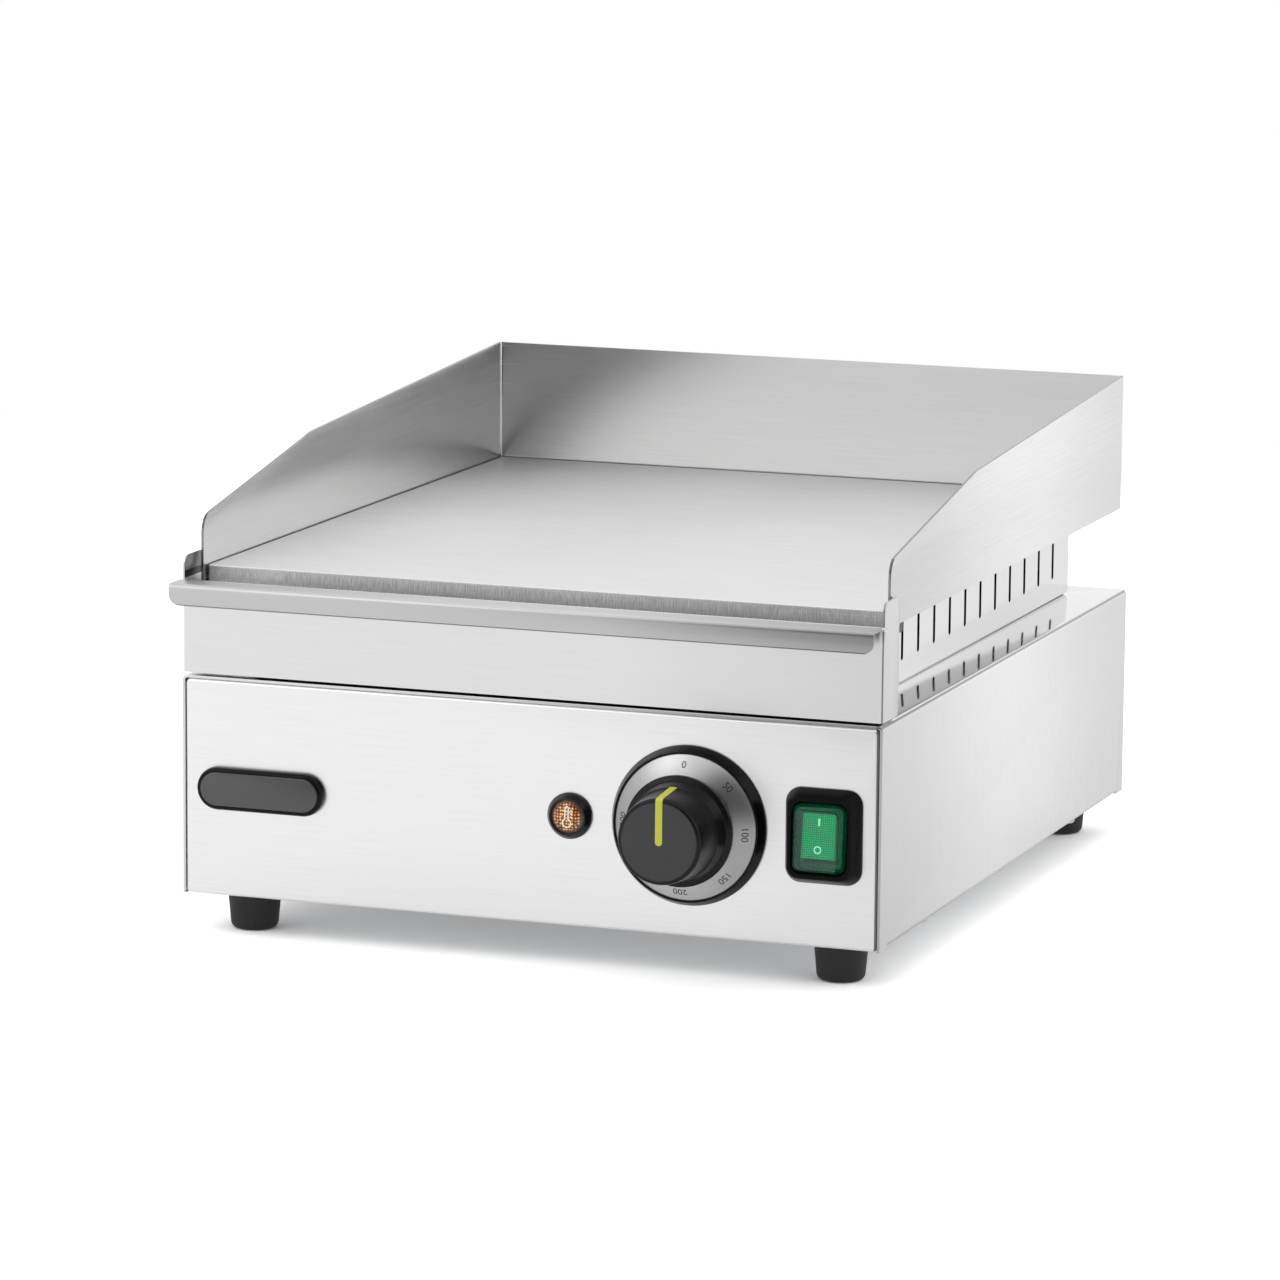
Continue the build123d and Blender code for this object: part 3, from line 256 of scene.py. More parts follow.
def joinMeshes(name, meshes, degrees=sharpTurn):
    bm = bmesh.new()
    for mesh in meshes:
        bm.from_mesh(mesh)
    return closedMesh(bm, name, degrees)


def feed(target, value):
    # a socket takes a plain setting, another node's socket or a worked-out value
    value = getattr(value, "socket", value)
    if isinstance(value, bpy.types.NodeSocket):
        target.id_data.links.new(value, target)
    else:
        target.default_value = value


def addNode(tree, kind, inputs=None, **settings):
    node = setUp(tree.nodes.new(kind), **settings)
    for label, value in (inputs or {}).items():
        feed(node.inputs[label], value)
    return node


class Value:
    # a number that a shader tree works out, summed and compared as a plain one is
    def __init__(self, socket):
        self.socket, self.tree = socket, socket.id_data

    def math(self, operation, *others, clamp=False):
        node = addNode(self.tree, "ShaderNodeMath", dict(enumerate((self,) + others)), operation=operation,
                       use_clamp=clamp)
        return Value(node.outputs[0])

    def __add__(self, other):
        return self.math("ADD", other)

    def __sub__(self, other):
        return self.math("SUBTRACT", other)

    def __mul__(self, other):
        return self.math("MULTIPLY", other)

    def __gt__(self, other):
        return self.math("GREATER_THAN", other)

    def __lt__(self, other):
        return self.math("LESS_THAN", other)

    def __abs__(self):
        return self.math("ABSOLUTE")

    def ramp(self, fromLow, fromHigh, toLow=0.0, toHigh=1.0):
        node = addNode(self.tree, "ShaderNodeMapRange", {
            "Value": self, "From Min": fromLow, "From Max": fromHigh, "To Min": toLow, "To Max": toHigh})
        return Value(node.outputs["Result"])

    def fade(self, factor):
        # 1 where this mask is 0, the factor where it is 1
        return self.ramp(0.0, 1.0, 1.0, factor)


def newGroup(kind, name, inputs, outputs):
    # sockets are (kind, label, default); some kinds have no default
    tree = bpy.data.node_groups.new(name, kind)
    for way, sockets in (("INPUT", inputs), ("OUTPUT", outputs)):
        for socketKind, label, *default in sockets:
            socket = tree.interface.new_socket(name=label, in_out=way, socket_type="NodeSocket" + socketKind)
            if default:
                socket.default_value = default[0]
    return tree, tree.nodes.new("NodeGroupInput").outputs, tree.nodes.new("NodeGroupOutput").inputs


def noise(vector, scale, detail, roughness):
    return Value(addNode(vector.id_data, "ShaderNodeTexNoise", {
        "Vector": vector, "Scale": scale, "Detail": detail, "Roughness": roughness}).outputs["Fac"])


def vectorMath(operation, vector, label, value):
    node = addNode(vector.id_data, "ShaderNodeVectorMath", {0: vector, label: value}, operation=operation)
    return node.outputs


def stretched(vector, scale):
    return vectorMath("MULTIPLY", vector, 1, scale)[0]


def scaled(vector, factor):
    # a vector made longer, or a color made lighter, by one factor
    return vectorMath("SCALE", vector, "Scale", factor)[0]


def blended(mask, first, second):
    inputs = {"Factor": mask, "A": first, "B": second}
    return addNode(mask.tree, "ShaderNodeMix", inputs, data_type="RGBA").outputs["Result"]


skinOutputs = (("Color", "Color"), ("Float", "Roughness"), ("Float", "Height"))


def makeBrushedGroup():
    # drawn or brushed sheet: long fine lines, with faint broad clouds where it was handled
    tree, given, put = newGroup("ShaderNodeTree", "brushedGrain", (
        ("Vector", "Vector"), ("Vector", "Line Scale", (4, 4, 900)), ("Color", "Color", (0.8, 0.8, 0.79, 1)),
        ("Float", "Line Contrast", 0.06), ("Float", "Cloud Contrast", 0.03), ("Float", "Roughness", 0.3),
        ("Float", "Roughness Spread", 0.08)), skinOutputs)
    lines = noise(stretched(given["Vector"], given["Line Scale"]), 1.0, 5.0, 0.7)
    lineShift = lines - 0.5
    cloudShift = noise(given["Vector"], 9.0, 3.0, 0.5) - 0.5
    factor = lineShift * given["Line Contrast"] + cloudShift * given["Cloud Contrast"] + 1.0
    feed(put["Color"], scaled(given["Color"], factor))
    spread = (cloudShift + lineShift) * given["Roughness Spread"]
    feed(put["Roughness"], spread.math("ADD", given["Roughness"], clamp=True))
    feed(put["Height"], lines)
    return tree


def makeMouldedGroup():
    # moulded plastic or rubber: a fine even texture and faint shade changes
    tree, given, put = newGroup("ShaderNodeTree", "mouldedSkin", (
        ("Vector", "Vector"), ("Color", "Color", (0.05, 0.05, 0.05, 1)), ("Float", "Texture Scale", 3000.0),
        ("Float", "Shade Spread", 0.1), ("Float", "Roughness", 0.4), ("Float", "Roughness Spread", 0.1)),
        skinOutputs)
    fine = noise(scaled(given["Vector"], given["Texture Scale"]), 1.0, 2.0, 0.5)
    cloudShift = noise(given["Vector"], 60.0, 3.0, 0.6) - 0.5
    feed(put["Color"], scaled(given["Color"], cloudShift * given["Shade Spread"] + 1.0))
    spread = cloudShift * given["Roughness Spread"]
    feed(put["Roughness"], spread.math("ADD", given["Roughness"], clamp=True))
    feed(put["Height"], fine)
    return tree


brushedGroup = makeBrushedGroup()
mouldedGroup = makeMouldedGroup()


class Paint:
    # a material; its skin gives the color, roughness and height that the finish steps work on
    def __init__(self, name, group=None, values=None):
        self.material = bpy.data.materials.new(name)
        self.material.use_nodes = True
        self.tree = self.material.node_tree
        self.shader = self.tree.nodes["Principled BSDF"].inputs
        self.coordinates = addNode(self.tree, "ShaderNodeTexCoord").outputs
        if group:
            inputs = {"Vector": self.coordinates["Object"], **values}
            self.skin = addNode(self.tree, "ShaderNodeGroup", inputs, node_tree=group).outputs

    def feed(self, values):
        for label, value in values.items():
            feed(self.shader[label], value)

    def shade(self, factor):
        self.feed({"Base Color": scaled(self.skin["Color"], factor)})

    def roughness(self):
        return Value(self.skin["Roughness"])

    def addBump(self, height, strength, distance):
        self.bump = addNode(self.tree, "ShaderNodeBump", {"Height": height, "Strength": strength,
                                                          "Distance": distance})
        self.feed({"Normal": self.bump.outputs["Normal"]})

    def split(self, label):
        node = addNode(self.tree, "ShaderNodeSeparateXYZ", {0: self.coordinates[label]})
        return [Value(socket) for socket in node.outputs]

    def place(self):
        return self.split("Object")

    def facing(self):
        return self.split("Normal")

    def distanceFrom(self, centre):
        # how far a place lies from an axis that runs front to back
        x, _, z = self.place()
        across, up = (x - centre.x).math("POWER", 2.0), (z - centre.z).math("POWER", 2.0)
        return (across + up).math("SQRT")


# each row: color, how fine the grain is along X, Y and Z, line contrast, cloud contrast, roughness, how far
# the roughness spreads, and the height of the grain
steelInputs = ("Color", "Line Scale", "Line Contrast", "Cloud Contrast", "Roughness", "Roughness Spread")
steelLooks = {
    "casing": ((0.78, 0.78, 0.78, 1), (12, 900, 12), 0.16, 0.04, 0.28, 0.08, 0.05),
    "front": ((0.93, 0.93, 0.93, 1), (22, 22, 1300), 0.16, 0.03, 0.33, 0.08, 0.06),
    "drawer": ((0.8, 0.8, 0.8, 1), (22, 22, 1300), 0.14, 0.04, 0.31, 0.08, 0.06),
    "guard": ((0.77, 0.77, 0.77, 1), (20, 20, 1100), 0.26, 0.05, 0.25, 0.1, 0.06),
    "chamber": ((0.78, 0.78, 0.78, 1), (900, 900, 8), 0.06, 0.04, 0.13, 0.05, 0.02),
    "plate": ((0.78, 0.78, 0.775, 1), (20, 1100, 1100), 0.32, 0.08, 0.46, 0.1, 0.8),
    "base": ((0.6, 0.61, 0.62, 1), (80, 80, 80), 0.12, 0.1, 0.42, 0.12, 0.05),
    "zinc": ((0.66, 0.67, 0.68, 1), (300, 300, 300), 0.1, 0.1, 0.32, 0.12, 0.05),
    "element": ((0.16, 0.155, 0.15, 1), (400, 400, 400), 0.3, 0.3, 0.55, 0.15, 0.2),
    "weld": ((0.5, 0.49, 0.48, 1), (900, 900, 900), 0.3, 0.2, 0.45, 0.15, 0.6),
    "brass": ((0.72, 0.56, 0.3, 1), (300, 300, 300), 0.1, 0.1, 0.3, 0.1, 0.05),
    "copper": ((0.75, 0.42, 0.27, 1), (300, 300, 300), 0.1, 0.15, 0.32, 0.1, 0.05),
    "dial": ((0.66, 0.66, 0.66, 1), (2500, 2500, 2500), 0.12, 0.1, 0.34, 0.06, 0.12),
    "badge": ((0.125, 0.125, 0.128, 1), (900, 900, 2500), 0.35, 0.06, 0.42, 0.08, 0.08),
}
# each row: color, roughness and how far it spreads, texture scale, how far the shade spreads, and then the
# height of the texture, the strength of the reflection and the glow
plasticInputs = ("Color", "Roughness", "Roughness Spread", "Texture Scale", "Shade Spread")
plasticLooks = {
    "knob": ((0.01, 0.01, 0.0105, 1), 0.24, 0.06, 3000.0, 0.15, 0.05, 0.2, 0.0),
    "pointer": ((0.82, 0.78, 0.1, 1), 0.45, 0.1, 3000.0, 0.15, 0.08, 0.3, 0.0),
    "bezel": ((0.004, 0.004, 0.0042, 1), 0.2, 0.1, 3000.0, 0.15, 0.05, 0.16, 0.0),
    "lampRing": ((0.01, 0.01, 0.011, 1), 0.22, 0.1, 3000.0, 0.15, 0.05, 0.35, 0.0),
    "switch": ((0.1, 0.1, 0.105, 1), 0.42, 0.1, 3000.0, 0.15, 0.12, 0.5, 0.0),
    "bootFrame": ((0.004, 0.004, 0.0043, 1), 0.28, 0.08, 3000.0, 0.15, 0.08, 0.09, 0.0),
    "foot": ((0.02, 0.02, 0.02, 1), 0.62, 0.1, 2200.0, 0.15, 0.25, 0.5, 0.0),
    "inner": ((0.72, 0.7, 0.66, 1), 0.5, 0.1, 3000.0, 0.15, 0.15, 0.5, 0.0),
    "gland": ((0.02, 0.02, 0.021, 1), 0.45, 0.1, 3000.0, 0.15, 0.2, 0.5, 0.0),
    "mat": ((0.78, 0.76, 0.7, 1), 0.9, 0.1, 700.0, 0.3, 0.9, 0.5, 0.0),
    "ink": ((0.02, 0.02, 0.022, 1), 0.5, 0.1, 3000.0, 0.15, 0.15, 0.5, 0.0),
    "white": ((0.9, 0.92, 0.9, 1), 0.45, 0.1, 3000.0, 0.15, 0.15, 0.5, 0.35),
}


def brushedSteel(name, look):
    *values, bump = look
    paint = Paint(name + "Steel", brushedGroup, dict(zip(steelInputs, values)))
    paint.feed({"Metallic": 1.0, "Base Color": paint.skin["Color"], "Roughness": paint.skin["Roughness"]})
    paint.addBump(paint.skin["Height"], bump, 0.02 * mm)
    return paint


def moulded(name, look):
    *values, bump, specular, glow = look
    paint = Paint(name + "Plastic", mouldedGroup, dict(zip(plasticInputs, values)))
    paint.feed({"Base Color": paint.skin["Color"], "Roughness": paint.skin["Roughness"],
                "Specular IOR Level": specular})
    if glow:
        paint.feed({"Emission Color": paint.skin["Color"], "Emission Strength": glow})
    paint.addBump(paint.skin["Height"], bump, 0.03 * mm)
    return paint


steel = {name: brushedSteel(name, look) for name, look in steelLooks.items()}
plastic = {name: moulded(name, look) for name, look in plasticLooks.items()}


def paintedSideSheen(paint, front, look):
    # a factor for the outside of a side wall: a painted reflection of one broad light band along its length
    x, y, _ = paint.place()
    outward = paint.facing()[0] * x.math("SIGN") > 0.5
    wave = ((y - (front + look["sweepCentre"])) * (2 * math.pi / look["sweepLength"])).math("COSINE")
    return outward * (wave * look["sweep"]) + 1.0


def shadeGuard():
    # painted shade on the guard's cut edges along both sides, darker than its brushed faces, which carry a
    # painted reflection of a broad light band
    look = {"frontShade": 0.40, "frontDepth": 70 * mm, "topShade": 0.42, "topWidth": 2 * mm, "sweep": 0.12,
            "sweepCentre": 205 * mm, "sweepLength": 380 * mm}
    paint = steel["guard"]
    low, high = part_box("splash_guard")
    x, y, _ = paint.place()
    facingX, facingY, facingZ = paint.facing()
    front = (facingY < -0.45) * (y < low[1] + look["frontDepth"])
    top = (abs(x) > high[0] - look["topWidth"]) * ((abs(facingX) < 0.5) * (facingZ > 0.25))
    paint.shade(front.fade(look["frontShade"]) * top.fade(look["topShade"]) * paintedSideSheen(paint, low[1], look))


def shadeCasing():
    # painted reflections of a broad light band along each side, painted shade on the bends and on the cut
    # front edge of the right-hand side, and a mirror deck under the heat chamber painted paler toward the
    # front as a painted reflection
    look = {"edgeShade": 0.58, "edgeDepth": 2 * mm, "edgeWidth": 3 * mm, "sweep": 0.12,
            "sweepCentre": 190 * mm, "sweepLength": 400 * mm, "bendLow": 0.56, "bendHigh": 0.86,
            "bendShade": 0.48, "deckLift": 1.24, "liftFrom": 60 * mm, "liftTo": 270 * mm, "deckPolish": 0.28}
    paint = steel["casing"]
    low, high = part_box("outer_casing")
    x, y, z = paint.place()
    facingX, facingY, facingZ = paint.facing()
    edge = (facingY < -0.5) * (y < low[1] + look["edgeDepth"]) * (x > high[0] - look["edgeWidth"])
    bend = (abs(facingX) > look["bendLow"]) * (abs(facingX) < look["bendHigh"])
    # painted light: the deck is painted paler toward the front, standing in for its reflection
    nearness = y.ramp(low[1] + look["liftFrom"], low[1] + look["liftTo"], 1.0, 0.0)
    deckPaintedLight = (facingZ > look["bendHigh"]) * nearness
    paint.shade(edge.fade(look["edgeShade"]) * bend.fade(look["bendShade"]) * paintedSideSheen(paint, low[1], look)
                * deckPaintedLight.fade(look["deckLift"]))
    polish = z.ramp(high[2] - 0.6 * mm, high[2] - 0.1 * mm, 1.0, look["deckPolish"])
    paint.feed({"Roughness": paint.roughness() * polish})


def shadeFrontPanel():
    # painted shade: darker toward its right-hand end, and a painted shadow in the seam where it meets the
    # casing's side
    look = {"dimFrom": 90 * mm, "dimEnd": 0.91, "seam": 1.7 * mm, "seamTurn": 0.3, "seamShade": 0.22}
    paint = steel["front"]
    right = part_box("front_panel")[1][0]
    x = paint.place()[0]
    seam = (x > right - look["seam"]) * (paint.facing()[0] > look["seamTurn"])
    paint.shade(x.ramp(look["dimFrom"], right, 1.0, look["dimEnd"]) * seam.fade(look["seamShade"]))


def darkenSlots():
    # painted shade: the cut walls of the chamber's slots are painted dark, as they lie in shade
    look = {"cutShade": 0.07, "sheet": 1.3 * mm, "cornerMargin": 6 * mm, "flangeMargin": 2.2 * mm}
    paint = steel["chamber"]
    low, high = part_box("heat_chamber")
    x, y, z = paint.place()
    cut = (abs(x) > high[0] - look["sheet"]) * (abs(paint.facing()[0]) < 0.6)
    level = abs(z - (low[2] + high[2]) / 2) < (high[2] - low[2]) / 2 - look["flangeMargin"]
    paint.shade((cut * ((y < high[1] - look["cornerMargin"]) * level)).fade(look["cutShade"]))


def shadeDrawer():
    # the drawer's lip is rougher than the front under it and painted darker as painted shade; a painted
    # shadow runs along its lower edge, and the insides of the two ears carry painted shade, darkest at their
    # feet
    look = {"lipShade": 0.74, "lipDull": 1.25, "lipDepth": 12 * mm, "earHeight": 10.3 * mm, "drop": 9.7 * mm,
            "edge": 0.5 * mm, "edgeShade": 0.4, "earShade": 0.36, "earFoot": 3.4 * mm, "footShade": 0.06,
            "dimFrom": 40 * mm, "dimEnd": 0.86, "lipDimEnd": 0.76, "bendTurn": 0.56, "bendShade": 0.30,
            "cornerWidth": 9 * mm, "cornerStart": 3 * mm, "cornerTop": 1 * mm, "cornerDrop": 7 * mm,
            "cornerDepth": 24 * mm, "cornerShade": 0.50}
    paint = steel["drawer"]
    low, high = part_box("drawer_front")
    x, y, z = paint.place()
    facingX, facingY, _ = paint.facing()
    lipTop = high[2] - look["earHeight"]
    lip = (y < low[1] + look["lipDepth"]) * (z < lipTop + 0.1 * mm)
    edge = lip * (z < lipTop - look["drop"] + look["edge"])
    ear = (facingX * x.math("SIGN") < -0.3) * (z > lipTop + 0.2 * mm)
    foot = ear * (z < lipTop + look["earFoot"])
    # painted shade: both the front and the lip are painted darker toward the right-hand end, and the bend
    # there darkest
    toEnd = x.ramp(look["dimFrom"], high[0])
    bend = (facingX > look["bendTurn"]) * (facingY < -look["bendTurn"])
    # a painted shadow in the small corner between the end of the lip and the ear
    cornerTop = lipTop - look["cornerTop"]
    corner = x.ramp(high[0] - look["cornerWidth"], high[0] - look["cornerStart"]) * z.ramp(
        cornerTop - look["cornerDrop"], cornerTop)
    corner = corner * ((facingY < -0.3) * (y > high[1] - look["cornerDepth"]))
    shade = lip.fade(look["lipShade"])
    for mask, label in ((edge, "edgeShade"), (ear, "earShade"), (foot, "footShade"), (toEnd, "dimEnd"),
                        (toEnd * lip, "lipDimEnd"), (bend, "bendShade"), (corner, "cornerShade")):
        shade = shade * mask.fade(look[label])
    paint.shade(shade)
    paint.feed({"Roughness": paint.roughness() * lip.fade(look["lipDull"])})


def sawPlateEdge():
    # upright saw marks on the plate's cut edges, against the fine grind on its top
    look = {"marks": (3000, 3000, 200), "contrast": 1.8, "shade": 0.98, "roughness": 0.50, "depth": 4.0}
    paint = steel["plate"]
    edge = abs(paint.facing()[2]) < 0.5
    marks = noise(stretched(paint.coordinates["Object"], look["marks"]), 1.0, 4.0, 0.65)
    paint.shade(edge.fade((marks - 0.5) * look["contrast"] + look["shade"]))
    paint.feed({"Roughness": paint.roughness().math("MAXIMUM", edge * look["roughness"])})
    height = edge * (marks * look["depth"]) + paint.skin["Height"]
    feed(paint.bump.inputs["Height"], height)


def sweepDial():
    # a turned face: fine rings, and a painted reflection of soft light and dark sweeps round it
    look = {"sweep": 0.16, "sweepStart": 0.35, "middle": 0.74, "rings": 5200.0, "ringContrast": 0.02}
    paint = steel["dial"]
    centre = centreOf("dial_ring")
    x, _, z = paint.place()
    angle = (z - centre.z).math("ARCTAN2", x - centre.x)
    sweep = angle.math("MULTIPLY_ADD", 2.0, look["sweepStart"]).math("COSINE")
    rings = (paint.distanceFrom(centre) * look["rings"]).math("SINE")
    paint.shade(sweep * -look["sweep"] + look["middle"] + rings * look["ringContrast"])


def dullKnobFaceWithSheen():
    # the knob's flat end is finely textured and rougher than its smooth side, and painted lighter as a
    # painted sheen
    look = {"shade": 7.8, "roughness": 0.50, "radius": 16.9 * mm, "blend": 0.8 * mm, "depth": 2.0 * mm}
    paint = plastic["knob"]
    inside = paint.distanceFrom(centreOf("control_knob")).ramp(
        look["radius"], look["radius"] + look["blend"], 1.0, 0.0)
    end = inside * (paint.place()[1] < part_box("control_knob")[0][1] + look["depth"])
    paint.shade(end.fade(look["shade"]))
    paint.feed({"Roughness": end.ramp(0.0, 1.0, paint.roughness(), look["roughness"])})


for finishStep in (shadeGuard, shadeCasing, shadeFrontPanel, darkenSlots, shadeDrawer, sawPlateEdge, sweepDial,
                   dullKnobFaceWithSheen):
    finishStep()
print("finishes made")

# merged copies of the CAD's sheet metal and plate, each with its finish and how far its edges are softened
sheetEdges = {
    "outer_casing": ("casing", 0.25 * mm), "front_panel": ("front", 0.0), "rear_panel": ("casing", 0.2 * mm),
    "heat_chamber": ("chamber", 0.0), "griddle_plate": ("plate", 0.0), "splash_guard": ("guard", 0.25 * mm),
    "drawer_front": ("drawer", 0.2 * mm), "drawer_tray": ("drawer", 0.0), "front_rail": ("chamber", 0.0),
    "base_plate": ("base", 0.0),
}
for node, (finish, softness) in sheetEdges.items():
    mergedCopy(node, steel[finish], bevel=softness)
print("sheet metal dressed")

# inner pieces keep their CAD shape
innerSteels = {
    "foot_nuts": "zinc", "foot_screws": "zinc", "plate_studs": "zinc", "stud_nuts": "zinc",
    "element_pins": "zinc", "clamp_studs": "zinc", "clamp_nuts": "zinc", "thermostat_shaft": "zinc",
    "thermostat_screws": "zinc", "guard_welds": "weld", "element_clamps": "base", "bulb_clip": "base",
    "element_ferrules": "brass", "earth_stud": "brass", "sensing_bulb": "copper", "capillary_tube": "copper",
    "heating_element": "element",
}
innerPlastics = {
    "insulation_mat": "mat", "thermostat_body": "inner", "pilot_body": "inner", "pilot_nut": "lampRing",
    "switch_body": "switch", "terminal_block": "inner", "thermal_cutout": "inner", "cord_gland": "gland",
    "gland_nut": "gland",
}
for finishes, kinds in ((innerSteels, steel), (innerPlastics, plastic)):
    for node, finish in finishes.items():
        mergedCopy(node, kinds[finish])
print("inner pieces dressed")

footShape = inMillimetres({
    "topRadius": 12.4, "baseRadius": 10.6, "baseRounding": 3.0, "boreRadius": 5.2, "boreDepth": 9.5,
    "screwRadius": 2.2})


def makeFoot(node):
    low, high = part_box(node)
    centre = centreOf(node)
    shape = footShape
    screw, bore, boreTop = shape["screwRadius"], shape["boreRadius"], low[2] + shape["boreDepth"]
    profile = roundedProfile([
        (screw, high[2], 0), (shape["topRadius"], high[2], 0.5 * mm),
        (shape["baseRadius"], low[2], shape["baseRounding"]), (bore, low[2], 0.4 * mm),
        (bore, boreTop, 0), (screw, boreTop, 0), (screw, high[2], 0)])
    standFor(node, turnedPiece(node + "Rubber", profile, (centre.x, centre.y, 0), axis="Z"), plastic["foot"])


for node in ("foot_front_left", "foot_front_right", "foot_rear_left", "foot_rear_right"):
    makeFoot(node)

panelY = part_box("front_panel")[0][1]


def onPanel(node):
    # where the middle of a piece lies on the face of the front panel
    centre = centreOf(node)
    return Vector((centre.x, panelY, centre.z))


dialAt = onPanel("dial_bezel")

bezelShape = inMillimetres({
    "radius": 35.75, "rim": 1.2, "topRadius": 33.45, "height": 5.9, "seatRadius": 32.75,
    "seatHeight": 5.05, "bore": 22.8, "boreHeight": 10.55})


def makeBezel():
    shape = bezelShape
    bore, height, seat = shape["bore"], -shape["height"], shape["seatRadius"]
    profile = roundedProfile([
        (bore, 0, 0), (shape["radius"], 0, 0), (shape["radius"], -shape["rim"], 0.5 * mm),
        (shape["topRadius"], height, 0.5 * mm), (seat, height, 0.2 * mm), (seat, -shape["seatHeight"], 0),
        (bore, -shape["boreHeight"], 0), (bore, 0, 0)])
    standFor("dial_bezel", turnedPiece("dialBezel", profile, dialAt, sides=128), plastic["bezel"])


dialShape = inMillimetres({
    "outer": 32.7, "inner": 22.8, "outerHeight": 5.5, "innerHeight": 11.0, "sheet": 0.4, "edge": 0.15,
    "numberRadius": 28.3, "numberSize": 4.5, "numberHeight": 0.05},
    numberStep=45.65, numbers=("0", "50", "100", "150", "200", "250", "300"))


def makeDialRing():
    shape = dialShape
    inner, outer, sheet, edge = pick(shape, "inner outer sheet edge")
    innerFront, outerFront = -shape["innerHeight"], -shape["outerHeight"]
    profile = roundedProfile([
        (inner, innerFront + sheet, 0), (inner, innerFront, edge), (outer, outerFront, edge),
        (outer, outerFront + sheet, 0), (inner, innerFront + sheet, 0)], steps=3)
    standFor("dial_ring", turnedPiece("dialRing", profile, dialAt, sides=128), steel["dial"])


def makeDialNumbers():
    # plain numbers laid round the cone
    shape = dialShape
    slope = (shape["innerHeight"] - shape["outerHeight"]) / (shape["outer"] - shape["inner"])
    lean = 1 / math.sqrt(1 + slope * slope)
    meshes = []
    for index, words in enumerate(shape["numbers"]):
        mesh = textMesh(words, shape["numberSize"], shape["numberHeight"])
        turn = math.radians(index * shape["numberStep"])
        for vertex in mesh.vertices:
            across, up, out = vertex.co
            radius = shape["numberRadius"] + up * lean
            angle = turn + across / shape["numberRadius"]
            depth = shape["outerHeight"] + (shape["outer"] - radius) * slope + shape["numberHeight"] / 2 + out
            vertex.co = dialAt + Vector((radius * math.sin(angle), -depth, radius * math.cos(angle)))
        meshes.append(mesh)
    numbers = newObject("dialNumbers", joinMeshes("dialNumbers", meshes, degrees=0))
    finishPiece(numbers, plastic["ink"].material, body=bodyOf["dial_ring"])


knobShape = inMillimetres({
    "face": 19.0, "faceRounding": 1.6, "waist": 20.7, "waistDepth": 18.5, "waistRounding": 5.0,
    "flare": 22.6, "flareDepth": 24.0, "skirt": 24.8, "skirtDepth": 25.0, "skirtEnd": 27.0, "wall": 2.0,
    "boss": 6.5, "bossEnd": 34.0, "bore": 3.05, "boreDepth": 5.7})


def makeKnob():
    shape = knobShape
    wall, face, waist, flare, skirt, boss, bore = pick(shape, "wall face waist flare skirt boss bore")
    profile = roundedProfile([
        (0, 0, 0), (face, 0, shape["faceRounding"]), (waist, shape["waistDepth"], shape["waistRounding"]),
        (flare, shape["flareDepth"], 0.6 * mm), (skirt, shape["skirtDepth"], 0.25 * mm),
        (skirt, shape["skirtEnd"], 0.25 * mm), (flare - wall, shape["skirtEnd"], 0.2 * mm),
        (flare - wall, shape["flareDepth"], 0), (waist - wall, shape["waistDepth"], 0),
        (face - wall, 2 * wall, 0), (boss, 2 * wall, 0), (boss, shape["bossEnd"], 0.3 * mm),
        (bore, shape["bossEnd"], 0), (bore, shape["boreDepth"], 0), (0, shape["boreDepth"], 0)])
    at = Vector((dialAt.x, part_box("control_knob")[0][1], dialAt.z))
    standFor("control_knob", turnedPiece("controlKnob", profile, at, sides=128), plastic["knob"])


makeBezel()
makeDialRing()
makeDialNumbers()
makeKnob()
mergedCopy("knob_pointer", plastic["pointer"])
print("dial and knob made")

lampAt = onPanel("pilot_bezel")
lampShape = inMillimetres({
    "radius": 10.4, "shoulder": 1.3, "topRadius": 8.4, "height": 4.2, "bore": 7.6, "lensRadius": 7.5,
    "lensEdge": 3.4, "lensHeight": 4.8, "lensBack": 0.2})


def makeLampRing():
    shape = lampShape
    bore, height = shape["bore"], -shape["height"]
    profile = roundedProfile([
        (bore, 0, 0), (shape["radius"], 0, 0), (shape["radius"], -shape["shoulder"], 1.4 * mm),
        (shape["topRadius"], height, 0.5 * mm), (bore, height, 0.3 * mm), (bore, 0, 0)])
    standFor("pilot_bezel", turnedPiece("pilotRing", profile, lampAt), plastic["lampRing"])


def lensDepth(x, z):
    # how far the crown of the lens stands out from the panel
    rise = lampShape["lensHeight"] - lampShape["lensEdge"]
    ball = (lampShape["lensRadius"] ** 2 + rise ** 2) / (2 * rise)
    return lampShape["lensHeight"] - ball + math.sqrt(ball ** 2 - x * x - z * z)


